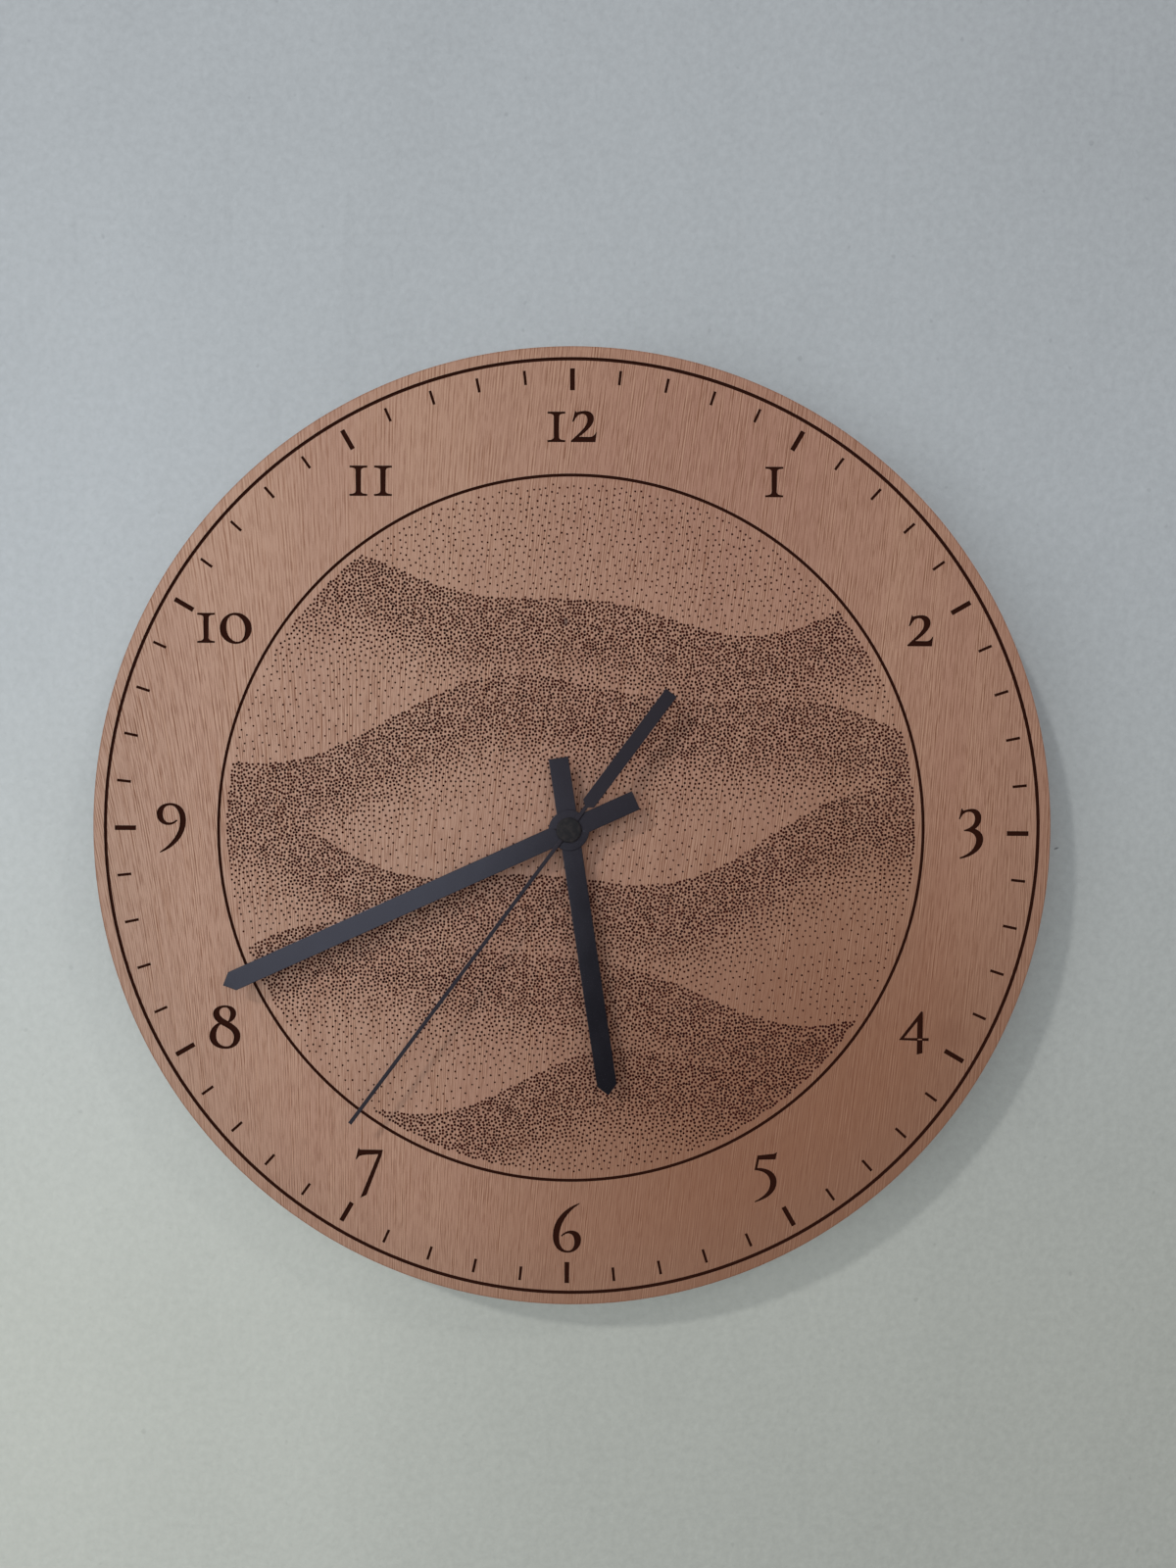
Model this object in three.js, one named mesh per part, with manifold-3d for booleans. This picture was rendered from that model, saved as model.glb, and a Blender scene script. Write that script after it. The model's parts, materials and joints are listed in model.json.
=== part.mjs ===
// Round wooden wall clock with stick hands and a one-cell quartz movement behind the dial.
// Millimetres. The clock is drawn face on: x to the right, y up, z off the wall towards the viewer.
// The finished group is turned so that the dial looks along -Y and +Z is up.
// The origin is on the hands' axis, on the plane that lies against the wall.

import * as THREE from 'three';
import { mergeVertices } from 'three/addons/utils/BufferGeometryUtils.js';
import Module from 'manifold-3d';

const wasm = await Module();
wasm.setup();

// Wooden disc and its engraving
const DISC_DIAMETER = 300;
const DISC_THICKNESS = 6;
const DISC_EDGE_EASE = 0.6;
const ENGRAVING_DEPTH = 0.4;
const RIM_MARGIN = 4;
const RING_LINE = 0.9;
const CHAPTER_WIDTH = 35.7;
const TICK_GAP = 3;
const MINUTE_TICK_LENGTH = 4.4;
const MINUTE_TICK_WIDTH = 0.75;
const HOUR_TICK_LENGTH = 6.7;
const HOUR_TICK_WIDTH = 1.35;

// Hands
const HAND_THICKNESS = 0.6;
const BAR_WIDTH = 5.4;
const BAR_TAIL = 22.5;
const BAR_TIP = 2.8;
const BOSS_DIAMETER = 12.2;
const COLLAR_WALL = 0.9;
const COLLAR_LENGTH = 1.1;
const HOUR_HAND_LENGTH = 83;
const MINUTE_HAND_LENGTH = 117;
const SECOND_HAND_LENGTH = 112.5;
const NEEDLE_WIDTH = 1.2;
const WEIGHT_WIDTH = 4.2;
const WEIGHT_START = 9;
const WEIGHT_END = 52;
const CAP_DIAMETER = 7.7;
const CAP_RISE = 0.5;
const COLLET_WALL = 0.7;

// Clockwise angles of the hands from twelve, in degrees
const HOUR_ANGLE = 171.2;
const MINUTE_ANGLE = 245.5;
const SECOND_ANGLE = 216.4;

// Centre stack: arbor, pipes, bush, nut and washers
const ARBOR_DIAMETER = 1;
const PIPE_WALL = 0.7;
const BUSH_WALL = 1.1;
const RUNNING_GAP = 0.3;
const FIT_GAP = 0.15;
const SEAT_GAP = 0.25;
const BUSH_FLANGE_DIAMETER = 13;
const BUSH_FLANGE_THICKNESS = 0.8;
const BUSH_BEYOND_NUT = 0.6;
const NUT_ACROSS_FLATS = 10.4;
const NUT_THICKNESS = 2.5;
const WASHER_DIAMETER = 11.6;
const WASHER_THICKNESS = 0.5;
const GASKET_DIAMETER = 28;
const GASKET_THICKNESS = 1;
const HAND_SPACING = 2.1;
const PIPE_BEYOND_HAND = 0.4;

// Moulded case
const CASE_WALL = 1.5;
const CASE_CORNER = 4;
const CASE_EDGE = 0.6;
const INNER_CORNER = 1;
const COVER_THICKNESS = 1.5;
const COVER_GAP = 0.2;
const DIVIDER_WALL = 1.2;
const COMPARTMENT_HEIGHT = 37;
const SHAFT_ABOVE_DIVIDER = 10.5;
const PLATE_THICKNESS = 1;
const POST_RADIUS = 1.5;
const POST_INSET = 3;
const EYE_HOLE_RADIUS = 4;
const EYE_RIM = 3.6;
const EYE_THICKNESS = 4;
const EYE_NOTCH_RADIUS = 1.7;
const EYE_FOOT_WIDTH = 22;
const RIB_THICKNESS = 1.2;
const RIB_HEIGHT = 5;
const RIB_SPACING = 28;

// Cell and its contacts
const CELL_DIAMETER = 14;
const CELL_LENGTH = 49.2;
const CELL_NUB_LENGTH = 1.3;
const CELL_NUB_DIAMETER = 5.3;
const CELL_EDGE = 0.6;
const CELL_PLAY = 0.25;
const CONTACT_ROOM = 1.25;
const CONTACT_THICKNESS = 0.4;
const CONTACT_WIDTH = 3.3;
const CONTACT_PLATE_WIDTH = 9;
const CONTACT_BOW = 0.7;

// Going train and motion work
const GOING_MODULE = 0.4;
const MOTOR_MODULE = 1 / 3;
const MOTION_MODULE = 0.5;
const PINION_LEAVES = 6;
const CENTRE_TEETH = 45;
const THIRD_TEETH = 48;
const SECONDS_TEETH = 30;
const INTERMEDIATE_TEETH = 36;
const CANNON_LEAVES = 9;
const REVERSER_TEETH = 27;
const REVERSER_LEAVES = 8;
const HOUR_TEETH = 32;
const SETTING_LEAVES = 9;
const ADDENDUM = 0.8;
const DEDENDUM = 1.15;
const TOOTH_TIP_HALF = 0.11;
const TOOTH_ROOT_HALF = 0.27;
const WHEEL_THICKNESS = 0.9;
const PIVOT_RADIUS = 0.5;
const PIVOT_DEPTH = 0.7;
const BEARING_WALL = 1.1;
const REAR_PLAY = 1.3;
const MOTOR_GAP = 1.8;
const TRAIN_GAP = 0.5;
const AXIAL_PLAY = 0.3;
const FRICTION_GAP = 0.15;
const SPRING_THICKNESS = 0.3;
const SPRING_DIAMETER = 7.4;
const COLLAR_THICKNESS = 0.3;
const SETTING_SHAFT_RADIUS = 1.4;

// Bearings of the arbors from one another, in degrees
const THIRD_BEARING = 138;
const REVERSER_BEARING = -8.5;
const SETTING_BEARING = 8.5;
const INTERMEDIATE_BEARING = 60;
const ROTOR_BEARING = 73.4;

// Stepping motor
const MAGNET_DIAMETER = 5.2;
const MAGNET_LENGTH = 2.4;
const STATOR_HOLE_DIAMETER = 6.2;
const STATOR_BRIDGE = 1.5;
const STATOR_THICKNESS = 1;
const STATOR_LEFT_REACH = 14.6;
const STATOR_RIGHT_REACH = 6.4;
const STATOR_ARM_WIDTH = 3.5;
const CORE_HEIGHT = 2;
const CORE_THICKNESS = 1;
const COIL_BELOW_ROOF = 4;
const BOBBIN_RADIUS = 1.7;
const BOBBIN_FLANGE_RADIUS = 2.6;
const BOBBIN_FLANGE = 0.8;
const WINDING_RADIUS = 2.45;

// Circuit board
const BOARD_THICKNESS = 1;
const BOARD_WIDTH = 12.8;
const BOARD_HEIGHT = 32;
const BOARD_INSET = 1.2;
const BOARD_ABOVE_DIVIDER = 3.5;
const BOARD_BEHIND = 1.5;
const BOARD_POST_INSET = 2;
const BOARD_POST_SPACING = 18;
const CRYSTAL_RADIUS = 1;
const CRYSTAL_LENGTH = 6;
const CHIP_RADIUS = 2.8;
const CHIP_HEIGHT = 1;

// Setting knob
const KNOB_DIAMETER = 11;
const KNOB_THICKNESS = 3;
const KNOB_FLUTES = 24;
const KNOB_FLUTE_DEPTH = 0.3;
const KNOB_RECESS = 0.4;
const KNOB_GAP = 0.5;
const WELL_WALL = 0.8;

// Smoothness of round shapes
const DISC_SEGMENTS = 72;
const ROUND_SEGMENTS = 24;
const SMALL_SEGMENTS = 12;
const CORNER_SEGMENTS = 3;
const CUT_MARGIN = 1;
const MERGE_DISTANCE = 1e-5;
const MINUTES = 60;
const MINUTES_PER_HOUR_TICK = 5;

// Depths off the wall, from the rear cover forwards
const intermediateBack = COVER_THICKNESS + REAR_PLAY;
const intermediateFront = intermediateBack + WHEEL_THICKNESS;
const secondsBack = intermediateFront + MOTOR_GAP;
const secondsFront = secondsBack + WHEEL_THICKNESS;
const thirdBack = secondsFront + TRAIN_GAP;
const thirdFront = thirdBack + WHEEL_THICKNESS;
const plateBack = thirdFront + AXIAL_PLAY;
const plateFront = plateBack + PLATE_THICKNESS;
const collarBack = plateFront + AXIAL_PLAY;
const collarFront = collarBack + COLLAR_THICKNESS;
const centreBack = collarFront + FRICTION_GAP;
const centreFront = centreBack + WHEEL_THICKNESS;
const springBack = centreFront + FRICTION_GAP;
const springFront = springBack + SPRING_THICKNESS;
const cannonBack = springFront + FRICTION_GAP;
const cannonFront = cannonBack + WHEEL_THICKNESS;
const hourBack = cannonFront + AXIAL_PLAY;
const hourFront = hourBack + WHEEL_THICKNESS;
const trainDepth = hourFront + AXIAL_PLAY + BUSH_FLANGE_THICKNESS;
const cellRoom = CELL_DIAMETER + 2 * CELL_PLAY;
const floorBack = Math.max(trainDepth, cellRoom);
const caseFront = floorBack + CASE_WALL;
const gasketBack = caseFront + SEAT_GAP;
const discBack = gasketBack + GASKET_THICKNESS + SEAT_GAP;
const discFront = discBack + DISC_THICKNESS;
const washerBack = discFront + SEAT_GAP;
const nutBack = washerBack + WASHER_THICKNESS + SEAT_GAP;
const nutFront = nutBack + NUT_THICKNESS;
const bushFront = nutFront + BUSH_BEYOND_NUT;
const hourHandBack = bushFront + RUNNING_GAP + COLLAR_LENGTH;
const minuteHandBack = hourHandBack + HAND_SPACING;
const secondHandBack = minuteHandBack + HAND_SPACING;

// Radii of the centre stack, from the arbor outwards
const arborRadius = ARBOR_DIAMETER / 2;
const minutePipeBore = arborRadius + RUNNING_GAP;
const minutePipeRadius = minutePipeBore + PIPE_WALL;
const hourPipeBore = minutePipeRadius + RUNNING_GAP;
const hourPipeRadius = hourPipeBore + PIPE_WALL;
const bushBore = hourPipeRadius + RUNNING_GAP;
const bushRadius = bushBore + BUSH_WALL;
const bushHole = bushRadius + FIT_GAP;

// Case outline
const bayHalfLength = (CELL_LENGTH + CELL_NUB_LENGTH) / 2 + CONTACT_ROOM;
const compartmentBottom = -SHAFT_ABOVE_DIVIDER;
const compartmentTop = compartmentBottom + COMPARTMENT_HEIGHT;
const bayTop = compartmentBottom - DIVIDER_WALL;
const bayBottom = bayTop - cellRoom;
const caseLeft = -bayHalfLength - CASE_WALL;
const caseRight = bayHalfLength + CASE_WALL;
const caseTop = compartmentTop + CASE_WALL;
const caseBottom = bayBottom - CASE_WALL;
const eyeHeight = caseTop + EYE_HOLE_RADIUS;

// Cell and contacts
const cellY = bayBottom + CELL_PLAY + CELL_DIAMETER / 2;
const cellZ = floorBack - CELL_PLAY - CELL_DIAMETER / 2;
const cellRight = bayHalfLength - CONTACT_ROOM;
const cellLeft = cellRight - CELL_LENGTH - CELL_NUB_LENGTH;
const contactLeft = -bayHalfLength + FIT_GAP;
const contactRight = bayHalfLength - FIT_GAP;

// Circuit board
const boardBack = COVER_THICKNESS + BOARD_BEHIND;
const boardFront = boardBack + BOARD_THICKNESS;
const boardLeft = -bayHalfLength + BOARD_INSET;
const boardRight = boardLeft + BOARD_WIDTH;
const boardBottom = compartmentBottom + BOARD_ABOVE_DIVIDER;
const boardTop = boardBottom + BOARD_HEIGHT;
const contactBack = boardFront + SEAT_GAP;
const contactFront = contactBack + CONTACT_WIDTH;
const boardPostTop = boardTop - BOARD_POST_INSET;
const boardPosts = [
  [boardLeft + BOARD_POST_INSET, boardPostTop],
  [boardRight - BOARD_POST_INSET, boardPostTop],
  [boardLeft + BOARD_POST_INSET, boardPostTop - BOARD_POST_SPACING],
];

// Knob well
const knobFront = KNOB_RECESS + KNOB_THICKNESS;
const wellFloor = knobFront + KNOB_GAP;
const wellRadius = KNOB_DIAMETER / 2 + KNOB_GAP;

// Gear pairs: the second pair on a shared centre distance takes its module from the first
const goingDistance = (GOING_MODULE * (THIRD_TEETH + PINION_LEAVES)) / 2;
const centreModule = (2 * goingDistance) / (CENTRE_TEETH + PINION_LEAVES);
const motionDistance = (MOTION_MODULE * (REVERSER_TEETH + CANNON_LEAVES)) / 2;
const hourModule = (2 * motionDistance) / (HOUR_TEETH + REVERSER_LEAVES);
const settingDistance = (MOTION_MODULE * (REVERSER_TEETH + SETTING_LEAVES)) / 2;
const intermediateDistance = (GOING_MODULE * (SECONDS_TEETH + PINION_LEAVES)) / 2;
const rotorDistance = (MOTOR_MODULE * (INTERMEDIATE_TEETH + PINION_LEAVES)) / 2;

const centreAt = [0, 0];
const thirdAt = stepFrom(centreAt, goingDistance, THIRD_BEARING);
const reverserAt = stepFrom(centreAt, motionDistance, REVERSER_BEARING);
const settingAt = stepFrom(reverserAt, settingDistance, SETTING_BEARING);
const intermediateAt = stepFrom(centreAt, intermediateDistance, INTERMEDIATE_BEARING);
const rotorAt = stepFrom(intermediateAt, rotorDistance, ROTOR_BEARING);

const centreGear = { teeth: CENTRE_TEETH, module: centreModule, at: centreAt, phase: 0 };
const thirdPinion = meshed(centreGear, PINION_LEAVES, thirdAt);
const thirdGear = { teeth: THIRD_TEETH, module: GOING_MODULE, at: thirdAt, phase: 0 };
const secondsPinion = meshed(thirdGear, PINION_LEAVES, centreAt);
const secondsGear = { teeth: SECONDS_TEETH, module: GOING_MODULE, at: centreAt, phase: 0 };
const intermediatePinion = meshed(secondsGear, PINION_LEAVES, intermediateAt);
const intermediateGear = { teeth: INTERMEDIATE_TEETH, module: MOTOR_MODULE, at: intermediateAt, phase: 0 };
const rotorGear = meshed(intermediateGear, PINION_LEAVES, rotorAt);
const cannonGear = { teeth: CANNON_LEAVES, module: MOTION_MODULE, at: centreAt, phase: 0 };
const reverserGear = meshed(cannonGear, REVERSER_TEETH, reverserAt);
const reverserPinion = { teeth: REVERSER_LEAVES, module: hourModule, at: reverserAt, phase: 0 };
const hourGear = meshed(reverserPinion, HOUR_TEETH, centreAt);
const settingGear = meshed(reverserGear, SETTING_LEAVES, settingAt);

// Stepping motor
const statorBack = (intermediateFront + secondsFront) / 2;
const statorFront = statorBack + STATOR_THICKNESS;
const magnetBack = (statorBack + statorFront - MAGNET_LENGTH) / 2;
const magnetFront = magnetBack + MAGNET_LENGTH;
const statorHalf = STATOR_HOLE_DIAMETER / 2 + STATOR_BRIDGE;
const statorLeft = rotorAt[0] - STATOR_LEFT_REACH;
const statorRight = rotorAt[0] + STATOR_RIGHT_REACH;
const coilY = compartmentTop - COIL_BELOW_ROOF;
const coreFront = statorBack - SEAT_GAP;
const coreBack = coreFront - CORE_THICKNESS;
const coilZ = (coreBack + coreFront) / 2;
const bobbinLeft = statorLeft + STATOR_ARM_WIDTH + RUNNING_GAP;
const bobbinRight = statorRight - STATOR_ARM_WIDTH - RUNNING_GAP;

const materials = {
  oak: finish(0xb08a70, 0.6, 0),
  black: finish(0x2b2e33, 0.5, 0.2),
  brass: finish(0xc9a44c, 0.3, 1),
  steel: finish(0xb9bcc0, 0.35, 1),
  rubber: finish(0x1c1c1c, 0.9, 0),
  casePlastic: finish(0x1f2022, 0.55, 0),
  wheelPlastic: finish(0xe8e6de, 0.5, 0),
  copper: finish(0xb5673a, 0.4, 1),
  magnet: finish(0x4a4a4d, 0.45, 0.8),
  board: finish(0x2f5a3a, 0.5, 0),
  epoxy: finish(0x121212, 0.35, 0),
  cellJacket: finish(0x4d5258, 0.4, 0.4),
};

function finish(color, roughness, metalness) {
  return new THREE.MeshStandardMaterial({ color, roughness, metalness });
}

function stepFrom([x, y], distance, bearing) {
  const angle = THREE.MathUtils.degToRad(bearing);
  return [x + distance * Math.cos(angle), y + distance * Math.sin(angle)];
}

// A gear that meshes with another: its gap faces the other's tooth on the line of centres.
function meshed(driver, teeth, at) {
  const bearing = Math.atan2(at[1] - driver.at[1], at[0] - driver.at[0]);
  const pitches = ((bearing - driver.phase) * driver.teeth) / (2 * Math.PI);
  const phase = bearing + Math.PI - ((0.5 - pitches) * 2 * Math.PI) / teeth;
  return { teeth, module: driver.module, at, phase };
}

// Closed solid from a geometry, with shared corners merged and collapsed triangles left out.
function solidFrom(geometry) {
  const bare = geometry.clone();
  bare.deleteAttribute('normal');
  bare.deleteAttribute('uv');
  const merged = mergeVertices(bare, MERGE_DISTANCE);
  const corners = merged.index.array;
  const triangles = [];
  for (let i = 0; i < corners.length; i += 3) {
    const [a, b, c] = [corners[i], corners[i + 1], corners[i + 2]];
    if (a !== b && b !== c && c !== a) triangles.push(a, b, c);
  }
  return new wasm.Manifold(new wasm.Mesh({
    numProp: 3,
    vertProperties: new Float32Array(merged.attributes.position.array),
    triVerts: new Uint32Array(triangles),
  }));
}

function geometryFrom(solid) {
  const { vertProperties, triVerts } = solid.getMesh();
  const geometry = new THREE.BufferGeometry();
  geometry.setAttribute('position', new THREE.BufferAttribute(vertProperties, 3));
  geometry.setIndex(new THREE.BufferAttribute(triVerts, 1));
  geometry.computeVertexNormals();
  return geometry;
}

function join(...geometries) {
  return geometryFrom(geometries.map(solidFrom).reduce((whole, piece) => whole.add(piece)));
}

function cut(geometry, ...tools) {
  return geometryFrom(tools.map(solidFrom).reduce((rest, tool) => rest.subtract(tool), solidFrom(geometry)));
}

// Flat outline raised between two depths
function plate(shape, back, front) {
  const geometry = new THREE.ExtrudeGeometry(shape, {
    depth: front - back,
    bevelEnabled: false,
    curveSegments: ROUND_SEGMENTS / 2,
  });
  return geometry.translate(0, 0, back);
}

function rod([x, y], radius, back, front, segments = SMALL_SEGMENTS) {
  const geometry = new THREE.CylinderGeometry(radius, radius, front - back, segments);
  return geometry.rotateX(Math.PI / 2).translate(x, y, (back + front) / 2);
}

function block([left, right], [bottom, top], [back, front]) {
  const geometry = new THREE.BoxGeometry(right - left, top - bottom, front - back);
  return geometry.translate((left + right) / 2, (bottom + top) / 2, (back + front) / 2);
}

// Profile of [radius, depth] points turned about the hands' axis
function turned(points, segments = ROUND_SEGMENTS) {
  const profile = points.map(([radius, depth]) => new THREE.Vector2(radius, depth));
  return new THREE.LatheGeometry(profile, segments).rotateX(Math.PI / 2);
}

// Ring of rectangular section about the hands' axis
function ring(bore, radius, back, front, segments = ROUND_SEGMENTS) {
  return turned([[bore, back], [radius, back], [radius, front], [bore, front], [bore, back]], segments);
}

function roundedRectangle([left, right], [bottom, top], corner) {
  const shape = new THREE.Shape();
  shape.absarc(right - corner, bottom + corner, corner, -Math.PI / 2, 0);
  shape.absarc(right - corner, top - corner, corner, 0, Math.PI / 2);
  shape.absarc(left + corner, top - corner, corner, Math.PI / 2, Math.PI);
  shape.absarc(left + corner, bottom + corner, corner, Math.PI, 1.5 * Math.PI);
  shape.closePath();
  return shape;
}

function roundedPlate(across, up, corner, back, front) {
  const geometry = new THREE.ExtrudeGeometry(roundedRectangle(across, up, corner), {
    depth: front - back,
    bevelEnabled: false,
    curveSegments: CORNER_SEGMENTS,
  });
  return geometry.translate(0, 0, back);
}

function circlePath(x, y, radius) {
  const path = new THREE.Path();
  path.absarc(x, y, radius, 0, 2 * Math.PI, true);
  return path;
}

// Toothed outline with straight flanks and room at the tips and sides
function toothedShape({ teeth, module, at, phase }) {
  const pitchRadius = (teeth * module) / 2;
  const tip = pitchRadius + ADDENDUM * module;
  const root = pitchRadius - DEDENDUM * module;
  const corners = [
    [root, -TOOTH_ROOT_HALF],
    [tip, -TOOTH_TIP_HALF],
    [tip, TOOTH_TIP_HALF],
    [root, TOOTH_ROOT_HALF],
  ];
  const points = [];
  for (let tooth = 0; tooth < teeth; tooth += 1) {
    for (const [radius, offset] of corners) {
      const angle = phase + ((tooth + offset) * 2 * Math.PI) / teeth;
      points.push(new THREE.Vector2(at[0] + radius * Math.cos(angle), at[1] + radius * Math.sin(angle)));
    }
  }
  return new THREE.Shape(points);
}

function gear(spec, back, front, bore = 0) {
  const shape = toothedShape(spec);
  if (bore > 0) shape.holes.push(circlePath(spec.at[0], spec.at[1], bore));
  return new THREE.ExtrudeGeometry(shape, {
    depth: front - back,
    bevelEnabled: false,
    curveSegments: SMALL_SEGMENTS / 2,
  }).translate(0, 0, back);
}

// Strip of sheet metal on edge, following a line of points
function stripShape(points, thickness) {
  const half = thickness / 2;
  const sides = points.map(([x, y], i) => {
    const before = points[Math.max(i - 1, 0)];
    const after = points[Math.min(i + 1, points.length - 1)];
    const along = new THREE.Vector2(after[0] - before[0], after[1] - before[1]).normalize();
    return [
      new THREE.Vector2(x - half * along.y, y + half * along.x),
      new THREE.Vector2(x + half * along.y, y - half * along.x),
    ];
  });
  const left = sides.map((side) => side[0]);
  const right = sides.map((side) => side[1]).reverse();
  return new THREE.Shape([...right, ...left]);
}

function dialDisc() {
  const radius = DISC_DIAMETER / 2;
  const grooveFloor = discFront - ENGRAVING_DEPTH;
  const outerRing = radius - RIM_MARGIN;
  const innerRing = outerRing - CHAPTER_WIDTH;
  const groove = (middle) => [
    [middle + RING_LINE / 2, discFront],
    [middle + RING_LINE / 2, grooveFloor],
    [middle - RING_LINE / 2, grooveFloor],
    [middle - RING_LINE / 2, discFront],
  ];
  const body = turned([
    [bushHole, discBack],
    [radius - DISC_EDGE_EASE, discBack],
    [radius, discBack + DISC_EDGE_EASE],
    [radius, discFront - DISC_EDGE_EASE],
    [radius - DISC_EDGE_EASE, discFront],
    ...groove(outerRing),
    ...groove(innerRing),
    [bushHole, discFront],
    [bushHole, discBack],
  ], DISC_SEGMENTS);
  const tickOuter = outerRing - TICK_GAP;
  const ticks = Array.from({ length: MINUTES }, (_, minute) => {
    const onHour = minute % MINUTES_PER_HOUR_TICK === 0;
    const length = onHour ? HOUR_TICK_LENGTH : MINUTE_TICK_LENGTH;
    const width = onHour ? HOUR_TICK_WIDTH : MINUTE_TICK_WIDTH;
    const tick = block([-width / 2, width / 2], [tickOuter - length, tickOuter],
      [grooveFloor, discFront + CUT_MARGIN]);
    return tick.rotateZ((-minute * 2 * Math.PI) / MINUTES);
  });
  return cut(body, ...ticks);
}

// Straight bar with a round boss and a pointed tip, lying towards twelve, with a collar behind it
function barHand(length, bore, back) {
  const half = BAR_WIDTH / 2;
  const boss = BOSS_DIAMETER / 2;
  const spread = Math.asin(half / boss);
  const shape = new THREE.Shape();
  shape.moveTo(half, -BAR_TAIL);
  shape.absarc(0, 0, boss, spread - Math.PI / 2, Math.PI / 2 - spread);
  shape.lineTo(half, length - BAR_TIP);
  shape.lineTo(0, length);
  shape.lineTo(-half, length - BAR_TIP);
  shape.absarc(0, 0, boss, Math.PI / 2 + spread, 1.5 * Math.PI - spread);
  shape.lineTo(-half, -BAR_TAIL);
  shape.closePath();
  shape.holes.push(circlePath(0, 0, bore));
  const collar = ring(bore, bore + COLLAR_WALL, back - COLLAR_LENGTH, back + HAND_THICKNESS);
  return join(plate(shape, back, back + HAND_THICKNESS), collar);
}

function secondHand() {
  const front = secondHandBack + HAND_THICKNESS;
  const span = [secondHandBack, front];
  const needle = block([-NEEDLE_WIDTH / 2, NEEDLE_WIDTH / 2], [-WEIGHT_END, SECOND_HAND_LENGTH], span);
  const weight = block([-WEIGHT_WIDTH / 2, WEIGHT_WIDTH / 2], [-WEIGHT_END, -WEIGHT_START], span);
  const cap = CAP_DIAMETER / 2;
  const hub = turned([
    [0, secondHandBack],
    [cap, secondHandBack],
    [cap, front],
    [cap - CAP_RISE, front + CAP_RISE],
    [0, front + CAP_RISE],
  ]);
  return join(needle, weight, hub);
}

function secondHandCollet() {
  const bore = arborRadius + FIT_GAP;
  const back = minuteHandBack + HAND_THICKNESS + PIPE_BEYOND_HAND + RUNNING_GAP;
  return ring(bore, bore + COLLET_WALL, back, secondHandBack - FIT_GAP, SMALL_SEGMENTS);
}

// Hexagon with its corners turned off on both faces
function hexNut() {
  const corner = NUT_ACROSS_FLATS / Math.sqrt(3);
  const points = Array.from({ length: 6 }, (_, i) => {
    const angle = (i * Math.PI) / 3;
    return new THREE.Vector2(corner * Math.cos(angle), corner * Math.sin(angle));
  });
  const shape = new THREE.Shape(points);
  shape.holes.push(circlePath(0, 0, bushHole));
  const face = NUT_ACROSS_FLATS / 2;
  const slope = (corner - face) / 2;
  const blank = turned([
    [0, nutBack],
    [face, nutBack],
    [corner, nutBack + slope],
    [corner, nutFront - slope],
    [face, nutFront],
    [0, nutFront],
  ]);
  const nut = solidFrom(plate(shape, nutBack, nutFront));
  return geometryFrom(nut.intersect(solidFrom(blank)));
}

function threadedBush() {
  const flangeBack = floorBack - BUSH_FLANGE_THICKNESS;
  const flange = BUSH_FLANGE_DIAMETER / 2;
  return turned([
    [bushBore, flangeBack],
    [flange, flangeBack],
    [flange, floorBack - FIT_GAP],
    [bushRadius, floorBack - FIT_GAP],
    [bushRadius, bushFront],
    [bushBore, bushFront],
    [bushBore, flangeBack],
  ]);
}

// Moulded loop above the case, with a notch at the top that finds the nail
function hangingEye() {
  const outer = EYE_HOLE_RADIUS + EYE_RIM;
  const foot = EYE_FOOT_WIDTH / 2;
  const shape = new THREE.Shape();
  shape.moveTo(-foot, caseTop - CASE_WALL);
  shape.lineTo(foot, caseTop - CASE_WALL);
  shape.lineTo(foot, caseTop);
  shape.absarc(0, eyeHeight, outer, 0, Math.PI);
  shape.lineTo(-foot, caseTop);
  shape.closePath();
  const notchHeight = eyeHeight + EYE_HOLE_RADIUS;
  const body = plate(shape, 0, EYE_THICKNESS);
  const hole = rod([0, eyeHeight], EYE_HOLE_RADIUS, -CUT_MARGIN, EYE_THICKNESS + CUT_MARGIN, ROUND_SEGMENTS);
  const notch = rod([0, notchHeight], EYE_NOTCH_RADIUS, -CUT_MARGIN, EYE_THICKNESS + CUT_MARGIN);
  return cut(body, hole, notch);
}

// Posts in the four corners of the wheel compartment
function cornerPosts(back, front) {
  const left = -bayHalfLength + POST_INSET;
  const right = bayHalfLength - POST_INSET;
  const bottom = compartmentBottom + POST_INSET;
  const top = compartmentTop - POST_INSET;
  const places = [[left, bottom], [right, bottom], [right, top], [left, top]];
  return places.map((place) => rod(place, POST_RADIUS, back, front));
}

// Ribs across the bay, hollowed to cradle the cell
function cradleRibs() {
  const trough = new THREE.CylinderGeometry(CELL_DIAMETER / 2 + CELL_PLAY, CELL_DIAMETER / 2 + CELL_PLAY,
    2 * bayHalfLength, ROUND_SEGMENTS);
  trough.rotateZ(Math.PI / 2).translate(0, cellY, cellZ);
  return [-RIB_SPACING / 2, RIB_SPACING / 2].map((middle) => cut(
    block([middle - RIB_THICKNESS / 2, middle + RIB_THICKNESS / 2], [bayBottom - FIT_GAP, bayTop + FIT_GAP],
      [floorBack - RIB_HEIGHT, floorBack + FIT_GAP]),
    trough,
  ));
}

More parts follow.
